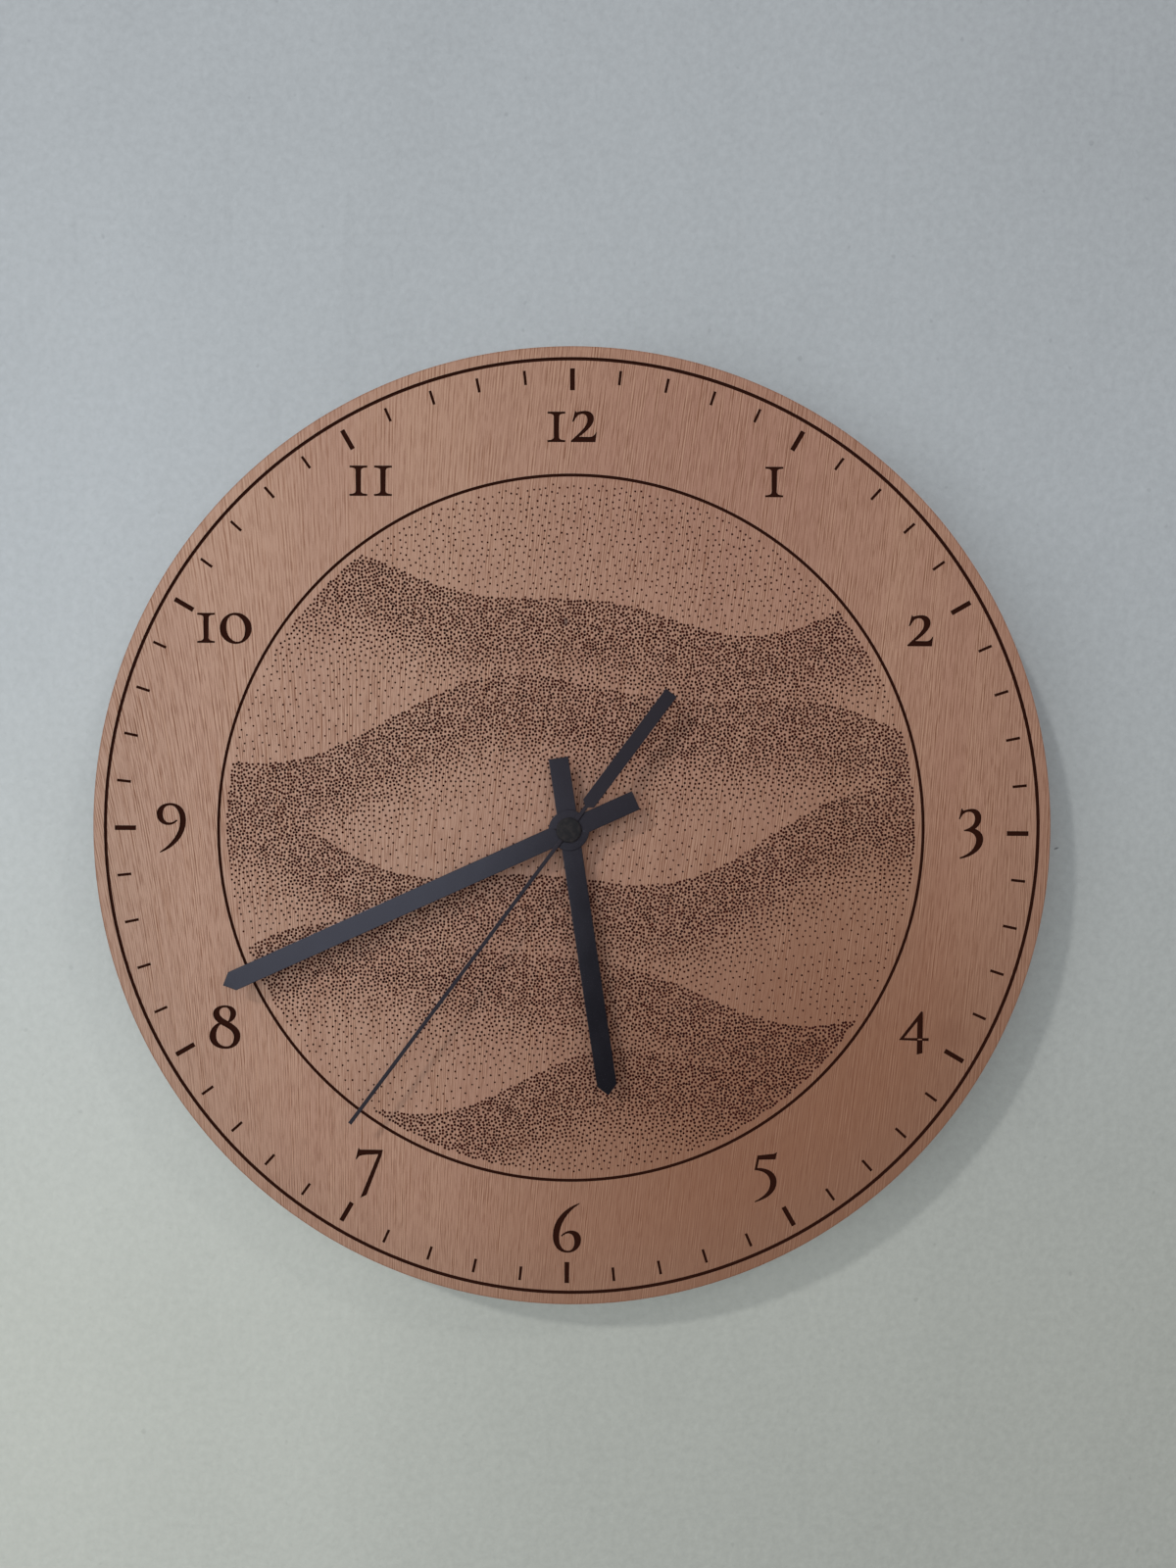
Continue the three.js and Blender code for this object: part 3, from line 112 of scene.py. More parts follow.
# Outlines of the figures, in millimetres from each figure's middle. Two numbers are a straight stretch to
# that point, and six are a curve with two handles.
FIGURES = {
    "0": [
        [(0, 4.8), (-2.75, 4.8, -4.95, 2.65, -4.95, 0), (-4.95, -2.65, -2.75, -4.8, 0, -4.8),
         (2.75, -4.8, 4.95, -2.65, 4.95, 0), (4.95, 2.65, 2.75, 4.8, 0, 4.8)],
        [(-0.55, 4.15), (-2.2, 4.15, -3.0, 2.5, -3.0, 0.4), (-3.0, -2.4, -1.2, -4.25, 0.55, -4.25),
         (2.2, -4.25, 3.0, -2.5, 3.0, -0.4), (3.0, 2.3, 1.2, 4.15, -0.55, 4.15)],
    ],
    "1": [
        [(-2.75, 4.7), (2.75, 4.7), (2.75, 4.25), (1.4, 4.2, 0.8, 4.0, 0.78, 3.2), (0.72, -2.9),
         (0.75, -3.75, 1.4, -4.0, 2.75, -4.05), (2.75, -4.5), (-2.75, -4.5), (-2.75, -4.05),
         (-1.4, -4.0, -0.75, -3.75, -0.72, -2.9), (-0.78, 3.2), (-0.8, 4.0, -1.4, 4.2, -2.75, 4.25)],
    ],
    "2": [
        [(-3.55, 1.6), (-2.6, 5.1), (-2.25, 4.5), (-1.4, 4.8, -0.5, 4.95, 0.4, 4.95),
         (2.0, 4.95, 3.05, 4.0, 3.05, 2.6), (3.05, 0.8, 1.0, -1.0, -1.55, -3.0), (1.7, -3.05),
         (2.9, -3.05, 3.4, -2.5, 3.95, -1.4), (3.6, -4.5), (-3.95, -4.5), (-3.95, -4.25),
         (-1.4, -1.8, 1.2, 0.2, 1.2, 2.2), (1.2, 3.4, 0.5, 4.15, -0.5, 4.15),
         (-2.0, 4.15, -2.5, 2.9, -3.2, 1.8)],
    ],
    "3": [
        [(-2.75, 7.8), (-3.55, 4.4), (-3.25, 4.4), (-2.9, 5.8, -1.7, 6.75, -0.5, 6.75),
         (0.7, 6.75, 1.45, 5.8, 1.45, 4.5), (1.45, 2.6, 0.0, 1.5, -1.95, 0.95), (-1.95, 0.7),
         (0.3, 0.85, 1.9, -0.4, 1.9, -2.1), (1.9, -4.6, -0.4, -6.8, -3.2, -7.6), (-3.1, -7.95),
         (1.4, -7.1, 3.95, -4.6, 3.95, -1.9), (3.95, -0.3, 2.9, 0.8, 1.35, 1.4),
         (2.6, 2.2, 3.25, 3.4, 3.25, 4.7), (3.25, 6.5, 2.1, 7.55, 0.5, 7.55),
         (-0.6, 7.55, -1.5, 7.1, -2.25, 7.0)],
    ],
    "4": [
        [(2.35, 6.6), (-4.5, -2.45), (1.15, -2.58), (1.15, -6.95), (2.8, -6.5), (2.8, -2.6), (4.72, -2.62),
         (4.72, -1.8), (2.78, -1.8), (2.75, 6.45)],
        [(1.15, 3.5), (-3.05, -1.8), (1.15, -1.8)],
        [(1.28, -1.93), (1.28, -2.47), (2.67, -2.47), (2.67, -1.93)],
    ],
    "5": [
        [(-2.65, 6.35), (2.6, 6.98), (3.4, 7.55), (2.95, 5.3), (-2.2, 5.15), (-2.75, 2.45),
         (0.9, 2.45, 3.35, 0.9, 3.35, -1.9), (3.35, -5.1, 0.6, -7.2, -3.45, -8.4), (-3.3, -8.15),
         (-0.1, -6.5, 1.47, -4.6, 1.47, -2.2), (1.47, 0.1, -0.3, 1.75, -3.5, 1.8)],
    ],
    "6": [
        [(3.9, 7.45), (-0.6, 5.9, -4.45, 2.2, -4.45, -3.0), (-4.45, -6.3, -2.6, -8.3, 0.1, -8.3),
         (2.6, -8.3, 4.35, -6.5, 4.35, -4.2), (4.35, -2.5, 3.2, -1.35, 1.4, -1.35),
         (-0.1, -1.35, -1.2, -2.2, -1.95, -3.0), (-1.65, -3.15), (-0.9, -2.45, -0.3, -2.15, 0.45, -2.15),
         (1.75, -2.15, 2.4, -3.4, 2.4, -4.8), (2.4, -6.7, 1.6, -7.8, 0.25, -7.8),
         (-1.5, -7.8, -2.6, -6.2, -2.6, -3.4), (-2.6, 0.8, 0.2, 5.0, 3.75, 7.2)],
    ],
    "7": [
        [(-3.58, 7.7), (-4.45, 4.05), (-4.15, 4.05), (-3.7, 5.5, -2.4, 5.55, 2.72, 5.65), (-2.95, -8.25),
         (-1.15, -7.35), (3.75, 5.6), (4.08, 7.0), (-3.1, 7.02)],
    ],
    "8": [
        [(-0.1, 6.65), (-2.3, 6.65, -3.85, 5.6, -3.85, 4.0), (-3.85, 2.7, -2.9, 1.7, -2.0, 1.2),
         (-3.9, 0.3, -5.0, -1.3, -5.0, -3.1), (-5.0, -5.5, -2.9, -7.0, 0, -7.0),
         (2.9, -7.0, 4.68, -5.2, 4.68, -2.9), (4.68, -0.9, 2.9, 0.4, 1.25, 1.35),
         (2.5, 2.0, 3.33, 2.9, 3.33, 4.2), (3.33, 5.7, 2.0, 6.65, -0.1, 6.65)],
        [(-0.1, 6.1), (-1.2, 6.1, -1.98, 5.5, -1.98, 4.5), (-1.98, 3.2, -0.7, 2.4, 0.8, 1.65),
         (1.3, 2.2, 1.6, 3.1, 1.6, 4.1), (1.6, 5.3, 0.9, 6.1, -0.1, 6.1)],
        [(-1.55, 0.75), (0.5, -0.2, 2.75, -1.3, 2.75, -3.2), (2.75, -5.1, 1.8, -6.35, 0.25, -6.35),
         (-1.6, -6.35, -3.03, -5.0, -3.03, -2.9), (-3.03, -1.4, -2.5, 0.0, -1.55, 0.75)],
    ],
    "9": [
        [(-3.92, -7.75), (0.6, -6.2, 4.35, -2.4, 4.35, 2.5), (4.35, 5.8, 2.4, 7.78, -0.5, 7.78),
         (-3.0, 7.78, -4.75, 6.3, -4.75, 4.5), (-4.75, 2.5, -3.3, 1.0, -1.2, 1.0),
         (0.1, 1.0, 1.0, 1.6, 1.7, 2.35), (1.45, 2.6), (0.7, 1.95, 0.0, 1.65, -0.85, 1.65),
         (-2.2, 1.65, -2.95, 2.9, -2.95, 4.5), (-2.95, 6.2, -1.9, 7.2, -0.6, 7.2),
         (1.3, 7.2, 2.62, 5.2, 2.62, 2.2), (2.62, -1.8, -0.4, -5.3, -3.75, -7.45)],
    ],
}
# Figures at each hour, with how far each stands to the right of the hour's place, in millimetres
HOURS = {
    1: [("1", 0.25)], 2: [("2", 0.3)], 3: [("3", 0)], 4: [("4", 0)], 5: [("5", 0)], 6: [("6", 0)],
    7: [("7", 0)], 8: [("8", 0)], 9: [("9", 0)], 10: [("1", -5.87), ("0", 3.45)],
    11: [("1", -3.95), ("1", 3.75)], 12: [("1", -4.9), ("2", 3.6)],
}
# Crests of the stippled hills, from the nearest to the furthest: height, then two waves with their swing,
# length and shift, in millimetres and radians
HILLS = [
    (-79, (9, 34, 0.4), (4, 15, 1.0)), (-44, (13, 40, 2.9), (4, 17, 0.2)), (-5, (14, 37, 4.9), (5, 16, 2.2)),
    (34, (13, 45, 1.3), (5, 18, 3.1)), (74, (10, 39, 3.6), (4, 15, 0.7)),
]
# Dark band under each crest and the fade below it, in millimetres, and the shade above the last crest
CREST_BAND = 13.0
CREST_FADE = 30.0
SKY_SHADE = 0.12
# Seeds of the dots' places and of their sizes
PLACES_SEED = 11
SIZES_SEED = 23


def measure(name, description, millimetres):
    """A length property, its default given in millimetres"""
    return bpy.props.FloatProperty(
        name=name, description=description, default=millimetres * MM, min=0.0, unit="LENGTH")


def hand_angle(name, degrees):
    """A property of a hand's angle, its default given in degrees"""
    return bpy.props.FloatProperty(
        name=name, description="Clockwise from twelve", default=math.radians(degrees), subtype="ANGLE")


class ClockSizes(bpy.types.PropertyGroup):
    """Lengths of the clock's visible pieces and the angles of its hands"""
    engraving_depth: measure("Engraving depth", "How far rings, ticks and figures are burnt in", 0.4)
    outer_ring: measure("Outer ring", "Radius of the ring outside the ticks", 146)
    outer_ring_width: measure("Outer ring width", "Width of the ring outside the ticks", 1.06)
    inner_ring: measure("Inner ring", "Radius of the ring round the stipple", 110.3)
    inner_ring_width: measure("Inner ring width", "Width of the ring round the stipple", 0.954)
    tick_radius: measure("Tick radius", "Radius at which the ticks end", 143.05)
    hour_tick: measure("Hour tick", "Length of an hour tick", 6.7)
    hour_tick_width: measure("Hour tick width", "Width of an hour tick", 1.48)
    minute_tick: measure("Minute tick", "Length of a minute tick", 4.4)
    minute_tick_width: measure("Minute tick width", "Width of a minute tick", 0.84)
    figure_radius: measure("Figure radius", "Radius on which the figures stand", 125)
    figure_swell: measure("Figure swell", "How far the burn spreads past a figure's outline", 0.08)
    dot_radius: measure("Dot radius", "Radius of a burnt dot with its browned fringe", 0.48)
    dot_depth: measure("Dot depth", "How deep a dot is burnt into the wood", 0.2)
    dot_rise: measure("Dot rise", "How far a dot's crust stands on the wood", 0.015)
    close_dots: measure("Close dots", "Least distance between dots where they are dense", 0.84)
    wide_dots: measure("Wide dots", "Least distance between dots where they are sparse", 2.2)
    stipple_radius: measure("Stipple radius", "Radius of the stippled field", 107.6)
    stipple_middle: measure("Stipple middle", "Radius without dots round the axis", 6.5)
    edge_ease: measure("Edge ease", "Sanded rounding of the disc's edges", 0.4)
    hole_radius: measure("Hole radius", "Radius of the hole in the disc, the washer and the nut", 4.05)
    bar_width: measure("Bar width", "Width of the hour and minute hands", 6.15)
    bar_tail: measure("Bar tail", "Length of the bars behind the axis", 22.5)
    bar_tip: measure("Bar tip", "Length of the bars' points", 3.2)
    boss_radius: measure("Boss radius", "Radius of the bars' round bosses", 6.25)
    collar_wall: measure("Collar wall", "Wall of the collars behind the bosses", 0.9)
    hour_length: measure("Hour hand", "Length of the hour hand from the axis", 83)
    minute_length: measure("Minute hand", "Length of the minute hand from the axis", 117)
    second_length: measure("Second hand", "Length of the second hand from the axis", 112.5)
    needle_width: measure("Needle width", "Width of the second hand's needle", 1.2)
    weight_width: measure("Weight width", "Width of the second hand's counterweight", 4.2)
    weight_start: measure("Weight start", "Distance from the axis to the counterweight", 10.1)
    weight_end: measure("Weight end", "Distance from the axis to the counterweight's end", 52)
    cap_radius: measure("Cap radius", "Radius of the second hand's cap", 3.85)
    cap_height: measure("Cap height", "How far the cap stands on the second hand", 0.5)
    hand_thickness: measure("Hand thickness", "Thickness of the stamped hands", 0.6)
    hand_edge: measure("Hand edge", "Rounding that the paint gives the hands' edges", 0.12)
    mould_edge: measure("Mould edge", "Rounding of the moulded pieces' edges", 0.22)
    mark_depth: measure("Mark depth", "Depth of the moulded signs", 0.25)
    hour_angle: hand_angle("Hour angle", 171.2)
    minute_angle: hand_angle("Minute angle", 245.5)
    second_angle: hand_angle("Second angle", 216.4)


def colour(name, description, value):
    """A colour property in linear light"""
    return bpy.props.FloatVectorProperty(
        name=name, description=description, default=value, size=3, min=0.0, max=1.0, subtype="COLOR")


class ClockColours(bpy.types.PropertyGroup):
    """Colours of the clock's finishes, in linear light"""
    wood: colour("Wood", "Main tone of the oiled wood", (0.322, 0.170, 0.107))
    wood_pale: colour("Pale wood", "Straw tone of the early wood", (0.400, 0.232, 0.147))
    wood_pink: colour("Pink wood", "Rosy tone of the late wood", (0.288, 0.138, 0.089))
    # Tone of the darker, warmer patch towards the lower right of the disc
    wood_deep: colour("Deep_patch", "Deeper tone of the deep_patch_at_lower_right", (0.186, 0.072, 0.031))
    pore: colour("Pores", "Dark lines of the grain", (0.150, 0.050, 0.020))
    char: colour("Char", "Floor of the engraving", (0.0190, 0.0042, 0.0018))
    scorch: colour("Scorch", "Browned edge of the engraving", (0.054, 0.0170, 0.0088))
    fringe: colour("Fringe", "Browned fringe of a burnt dot", (0.205, 0.030, 0.017))
    dot: colour("Dot", "Burnt heart of a dot", (0.0130, 0.0022, 0.0018))
    paint: colour("Hand paint", "Satin black of the hands", (0.0013, 0.0010, 0.0013))
    hub: colour("Hub", "Worn brown black of the second hand's cap", (0.0054, 0.0043, 0.0054))
    plastic: colour("Case", "Black moulded case", (0.0125, 0.0125, 0.0140))
    acetal: colour("Wheels", "Natural white wheels", (0.760, 0.740, 0.670))
    brass: colour("Brass", "Turned brass", (0.584, 0.371, 0.110))
    steel: colour("Steel", "Plated steel", (0.500, 0.510, 0.525))
    copper: colour("Wire", "Enamelled copper wire", (0.480, 0.150, 0.050))
    board: colour("Board", "Green mask of the board", (0.022, 0.098, 0.040))
    jacket: colour("Jacket", "Cell jacket", (0.055, 0.068, 0.088))
    jacket_band: colour("Jacket band", "Band at the cell's positive end", (0.520, 0.470, 0.360))
    wall: colour("Wall", "Painted wall behind the clock", (0.366, 0.386, 0.399))


class Wire:
    """A socket of a node tree, which takes part in Python expressions"""

    def __init__(self, nodes, socket):
        self.nodes = nodes
        self.socket = socket

    def maths(self, operation, *values):
        return self.nodes.node("ShaderNodeMath", {"operation": operation}, dict(enumerate(values)))

    def __add__(self, other):
        return self.maths("ADD", self, other)

    __radd__ = __add__

    def __sub__(self, other):
        return self.maths("SUBTRACT", self, other)

    def __rsub__(self, other):
        return self.maths("SUBTRACT", other, self)

    def __mul__(self, other):
        return self.maths("MULTIPLY", self, other)

    __rmul__ = __mul__

    def __pow__(self, other):
        return self.maths("POWER", self, other)

    def __abs__(self):
        return self.maths("ABSOLUTE", self)

    def sine(self):
        return self.maths("SINE", self)

    def rise(self, low, high):
        """0 below low, 1 above high, smooth between"""
        return self.nodes.node("ShaderNodeMapRange", {"interpolation_type": "SMOOTHSTEP"},
                               {"Value": self, "From Min": low, "From Max": high})


class Nodes:
    """A node tree that is written as expressions"""

    def __init__(self, tree):
        self.tree = tree

    def node(self, kind, settings=None, sockets=None, out=0):
        """Adds a node, sets it up, feeds its sockets and gives one of its outputs"""
        made = self.tree.nodes.new(kind)
        for key, value in (settings or {}).items():
            setattr(made, key, value)
        for key, value in (sockets or {}).items():
            self.join(made.inputs[key], value)
        return Wire(self, made.outputs[out]) if made.outputs else None

    def outputs(self, kind, sockets=None):
        """Every output of a new node, by its name"""
        made = self.node(kind, sockets=sockets).socket.node
        return {output.name: Wire(self, output) for output in made.outputs}

    def join(self, socket, value):
        if isinstance(value, Wire):
            self.tree.links.new(value.socket, socket)
        else:
            socket.default_value = value


class Finish(Nodes):
    """One procedural material"""

    def __init__(self, name, base, **sockets):
        self.material = bpy.data.materials.new(name)
        self.material.use_nodes = True
        self.material.diffuse_color = (*base, 1.0)
        super().__init__(self.material.node_tree)
        self.shader = self.tree.nodes["Principled BSDF"]
        self.place = self.node("ShaderNodeTexCoord", out="Object")
        for key, value in sockets.items():
            self.put(key.replace("_", " "), value)

    def put(self, key, value):
        if isinstance(value, tuple) and len(value) == 3:
            value = (*value, 1.0)
        self.join(self.shader.inputs[key], value)

    def split(self, vector):
        return list(self.outputs("ShaderNodeSeparateXYZ", {0: vector}).values())

    def vector(self, x, y, z):
        return self.node("ShaderNodeCombineXYZ", sockets={0: x, 1: y, 2: z})

    def noise(self, scale, detail=2.0, roughness=0.5, place=None):
        """Noise whose scale is one number, or one for each axis"""
        place = place or self.place
        if isinstance(scale, tuple):
            place = self.node("ShaderNodeVectorMath", {"operation": "MULTIPLY"}, {0: place, 1: scale})
            scale = 1.0
        return self.node("ShaderNodeTexNoise", sockets={
            "Vector": place, "Scale": scale, "Detail": detail, "Roughness": roughness})

    def away(self, x, z, middle=(0.0, 0.0), squash=1.0):
        """Distance from a place on the face, with the part of it that runs upwards times squash"""
        right = x - middle[0]
        up = (z - middle[1]) * squash
        return (right * right + up * up) ** 0.5

    def mix(self, first, second, share):
        def tone(value):
            return value if isinstance(value, Wire) else (*value, 1.0)
        return self.node("ShaderNodeMix", {"data_type": "RGBA"},
                         {0: share, 6: tone(first), 7: tone(second)}, out=2)

    def done(self, tone, roughness, height=None, depth=0.0, strength=0.5):
        """Links the colour, the roughness and a bump of a depth in millimetres, and gives the material"""
        self.put("Base Color", tone)
        self.put("Roughness", roughness)
        if height:
            self.put("Normal", self.node("ShaderNodeBump", sockets={
                "Strength": strength, "Distance": depth * MM, "Height": height}))
        return self.material


def wood_grain(finish, colours):
    """Colour, pores and broad figure of the oiled wood, with its lines running up the disc"""
    x, y, z = finish.split(finish.place)
    lean = 0.10 + x * 0.9 - x * x * 9.0
    across = x - z * lean + (finish.noise((9.0, 9.0, 5.0), 1.0) - 0.5) * 0.006

    def along(width, depth, height, detail, shift=0.0):
        """Noise stretched along the grain, from its scales across, into and up the wood"""
        place = finish.vector(across * width, y * depth, z * height + shift)
        return finish.noise(1.0, detail, place=place)

    figure = along(95.0, 60.0, 4.0, 1.5)
    broad = along(22.0, 22.0, 7.0, 2.0)
    wander = along(200.0, 140.0, 11.0, 1.0)
    strength = along(430.0, 300.0, 75.0, 0.5, 4.0).rise(0.34, 0.66)
    fine = along(3300.0, 1200.0, 210.0, 0.6)
    lines = along(820.0, 500.0, 30.0, 1.5).rise(0.52, 0.74)
    speck = finish.noise(2600.0, 1.0)
    ripple = sum((across * width + y * depth + wander * sway).sine() * share
                 for width, depth, sway, share in GRAIN_WAVES)
    pores = ripple.rise(-0.25, 0.85) * (0.3 + strength * 0.6) + fine.rise(0.48, 0.63) * 0.5
    rosy = 1 - (finish.away(x, z, ROSY_PATCH) + (broad - 0.5) * 0.04).rise(0.01, 0.075)
    # heart: a darker, warmer patch towards the lower right of the disc
    heart = 1 - (finish.away(across, z, DEEP_PATCH, 0.85) + (broad - 0.5) * 0.05).rise(0.02, 0.145)
    calm = 1 - (0 - x).rise(-0.01, 0.05) * z.rise(0.03, 0.09) * 0.33
    pale = (0 - ripple).rise(0.0, 0.9) * strength * calm * (0.60 - heart * 0.34)
    dark = (pores * 0.69 + lines * 0.05) * calm + (speck - 0.5) * 0.3
    tone = finish.mix(colours.wood, colours.wood_pink, broad.rise(0.36, 0.66) * 0.6)
    tone = finish.mix(tone, colours.wood_pale, figure.rise(0.40, 0.70) * 0.25)
    # Painted light: the left of the disc paler, where the window's light falls
    tone = finish.mix(tone, colours.wood_pale, (0 - x).rise(0.02, 0.14) * 0.3)
    tone = finish.mix(tone, colours.wood_pink, rosy * 0.9)
    tone = finish.mix(tone, colours.wood_deep, heart * 0.91)
    tone = finish.mix(tone, colours.wood_pale, pale)
    tone = finish.mix(tone, colours.pore, dark)
    return tone, pores, lines, broad


def oak_finish(colours):
    """Sanded and oiled wood with open pores, a pin knot, a stain and a browned sawn edge"""
    finish = Finish("oiled_oak", colours.wood, Specular_IOR_Level=0.6)
    tone, pores, lines, broad = wood_grain(finish, colours)
    x, _, z = finish.split(finish.place)
    radius = finish.away(x, z)
    knot = 1 - finish.away(x, z, PIN_KNOT, 0.75).rise(0.4 * MM, 1.5 * MM)
    stain = 1 - (finish.away(x, z, STAIN) + (broad - 0.5) * 0.012).rise(1.0 * MM, 7.0 * MM)
    # dull: the outer band of the face darker and greyer, except towards the top
    dull = radius.rise(0.12, 0.149) * (1 - z.rise(-0.02, 0.10))
    edge = radius.rise(DISC_RADIUS - 0.9 * MM, DISC_RADIUS + 0.2 * MM)
    tone = finish.mix(tone, colours.char, knot * 0.72)
    tone = finish.mix(tone, colours.pore, stain * 0.36)
    tone = finish.mix(tone, (0.16, 0.10, 0.066), dull * 0.17)
    tone = finish.mix(tone, colours.pore, edge * 0.55)
    roughness = 0.46 + pores * 0.18 + lines * 0.10 + broad * 0.06 + edge * 0.3
    return finish.done(tone, roughness, 0 - pores * 0.6 - lines * 0.5, 0.045, 0.4)


def char_finish(colours):
    """Burnt engraving: brown at its edge, near black on its rough floor"""
    finish = Finish("charred_oak", colours.char, Specular_IOR_Level=0.08)
    depth = finish.split(finish.place)[1].rise(DIAL_FRONT - 0.02 * MM, DIAL_FRONT + 0.07 * MM)
    crust = finish.noise(3200.0, 3.0, 0.6)
    tone = finish.mix(colours.scorch, colours.char, depth)
    tone = finish.mix(tone, colours.scorch, crust.rise(0.55, 0.85) * 0.4)
    return finish.done(tone, 0.78 + crust * 0.2, crust, 0.05, 0.6)


def dots_finish(colours):
    """Burnt dots: black in the middle, brown at the fringe, some burnt less than others"""
    finish = Finish("burnt_dots", colours.char, Specular_IOR_Level=0.06)
    share, inward, _ = finish.split(finish.node("ShaderNodeUVMap", {"uv_map": "OFBake"}))
    tone = finish.mix(colours.fringe, colours.dot, inward.rise(0.08, 0.36) * (0.88 + share * 0.12))
    return finish.done(tone, 0.86 - inward * 0.12)


def paint_finish(colours, name, gloss, lift):
    """Black stoving paint with a fine orange peel, dust and rubbed patches"""
    finish = Finish(name, colours.paint, Specular_IOR_Level=0.26, Specular_Tint=(0.86, 0.77, 0.94))
    peel = finish.noise(2400.0)
    rub = finish.noise((160.0, 160.0, 90.0), 4.0, 0.65)
    dust = finish.noise(5200.0, 0.0).rise(0.74, 0.84)
    tone = finish.mix(colours.paint, (0.0034, 0.0028, 0.0036), rub.rise(0.42, 0.78))
    tone = finish.mix(tone, (0.030, 0.024, 0.028), lift)
    tone = finish.mix(tone, (0.085, 0.085, 0.088), dust * 0.25)
    return finish.done(tone, gloss + rub * 0.09 + dust * 0.2, peel + rub * 0.5, 0.012)


def hub_finish(colours):
    """Handled cap of the second hand, mottled brown over black"""
    finish = Finish("handled_cap", colours.hub, Specular_IOR_Level=0.2)
    mottle = finish.noise(620.0, 4.0, 0.65)
    grit = finish.noise(4200.0)
    tone = finish.mix(colours.hub, (0.0185, 0.0145, 0.0145), mottle.rise(0.40, 0.68))
    tone = finish.mix(tone, (0.006, 0.006, 0.007), grit.rise(0.50, 0.75) * 0.5)
    return finish.done(tone, 0.52 + mottle * 0.2, mottle + grit * 0.5, 0.02, 0.6)


def plastic_finish(colours):
    """Black moulded case with a fine spark texture and specks of dust"""
    finish = Finish("spark_textured_plastic", colours.plastic, Specular_IOR_Level=0.45)
    spark = finish.noise(3600.0, 2.0, 0.6)
    flow = finish.noise(70.0, 3.0)
    lint = finish.noise(2600.0, 0.0).rise(0.76, 0.86)
    tone = finish.mix(colours.plastic, (0.024, 0.024, 0.026), flow.rise(0.35, 0.70) * 0.6 + spark * 0.3)
    tone = finish.mix(tone, (0.11, 0.105, 0.10), lint * 0.4)
    return finish.done(tone, 0.46 + spark * 0.18 + flow * 0.08, spark, 0.03, 0.7)


def acetal_finish(colours):
    """Natural white wheel plastic with faint flow lines"""
    finish = Finish("natural_acetal", colours.acetal, Specular_IOR_Level=0.45)
    flow = finish.noise(240.0, 3.0)
    grain = finish.noise(2800.0)
    tone = finish.mix(colours.acetal, (0.66, 0.63, 0.55), flow.rise(0.42, 0.72) * 0.5)
    return finish.done(tone, 0.38 + grain * 0.16, grain, 0.01, 0.4)


def brass_finish(colours):
    """Turned brass: tool lines round the axis, tarnish in soft patches"""
    finish = Finish("turned_brass", colours.brass, Metallic=1.0)
    x, y, z = finish.split(finish.place)
    turning = finish.noise(1.0, place=finish.vector(finish.away(x, z) * 9000.0, y * 9000.0, 0.0))
    tarnish = finish.noise(420.0, 4.0, 0.6)
    tone = finish.mix(colours.brass, (0.36, 0.215, 0.075), tarnish.rise(0.46, 0.74) * 0.8)
    return finish.done(tone, 0.24 + turning * 0.16 + tarnish * 0.12, turning, 0.008)


def steel_finish(colours):
    """Plated sheet steel with rolling lines and dull fingerprints"""
    finish = Finish("plated_steel", colours.steel, Metallic=1.0)
    rolling = finish.noise((5200.0, 5200.0, 160.0))
    prints = finish.noise(300.0, 4.0, 0.6)
    tone = finish.mix(colours.steel, (0.36, 0.36, 0.355), prints.rise(0.46, 0.74) * 0.6)
    return finish.done(tone, 0.26 + rolling * 0.12 + prints * 0.14, rolling, 0.006, 0.4)


def rubber_finish():
    """Matt black sheet rubber with talc in its surface"""
    finish = Finish("sheet_rubber", (0.012, 0.012, 0.012), Specular_IOR_Level=0.3)
    grain = finish.noise(2400.0, 3.0, 0.6)
    talc = finish.noise(380.0, 4.0)
    tone = finish.mix((0.010, 0.010, 0.010), (0.045, 0.045, 0.044), talc.rise(0.48, 0.80) * 0.6)
    return finish.done(tone, 0.74 + grain * 0.18, grain, 0.03, 0.6)


def winding_finish(colours):
    """Enamelled wire laid turn beside turn, with painted shade between the turns"""
    finish = Finish("enamelled_wire", colours.copper, Metallic=1.0, Coat_Weight=0.5, Coat_Roughness=0.15)
    turns = finish.node("ShaderNodeTexWave", {"wave_profile": "SIN", "bands_direction": "X"},
                        {"Vector": finish.place, "Scale": 1200.0, "Distortion": 0.6, "Detail": 1.0})
    lay = finish.noise(320.0, 3.0)
    # Painted shade: the copper darker between the turns, where the grooves between the wires lie
    tone = finish.mix((0.20, 0.055, 0.018), colours.copper, turns.rise(0.15, 0.75))
    tone = finish.mix(tone, (0.62, 0.26, 0.10), lay.rise(0.55, 0.80) * 0.4)
    return finish.done(tone, 0.28 + lay * 0.12, turns, 0.03, 0.8)


def magnet_finish():
    """Sintered magnet, dark grey and slightly granular"""
    finish = Finish("sintered_magnet", (0.069, 0.069, 0.074), Metallic=0.8)
    grain = finish.noise(5200.0, 3.0, 0.65)
    tone = finish.mix((0.05, 0.05, 0.054), (0.12, 0.12, 0.125), grain.rise(0.4, 0.75))
    return finish.done(tone, 0.5 + grain * 0.2, grain, 0.01)


def board_finish(colours):
    """Green solder mask over woven glass, with paler buried tracks"""
    finish = Finish("masked_board", colours.board, Specular_IOR_Level=0.5)
    x = finish.split(finish.place)[0]
    weave = finish.node("ShaderNodeTexChecker", sockets={"Vector": finish.place, "Scale": 1600.0}, out=1)
    tracks = abs((x * 2600.0).sine()).rise(0.86, 0.93)
    tracks = tracks * finish.noise((120.0, 1.0, 420.0), 0.0).rise(0.52, 0.56)
    mask = finish.noise(240.0, 3.0)
    tone = finish.mix(colours.board, (0.050, 0.180, 0.070), tracks * 0.8)
    tone = finish.mix(tone, (0.014, 0.062, 0.026), mask.rise(0.45, 0.75) * 0.5 + weave * 0.1)
    return finish.done(tone, 0.30 + mask * 0.16, tracks + weave * 0.1, 0.02)


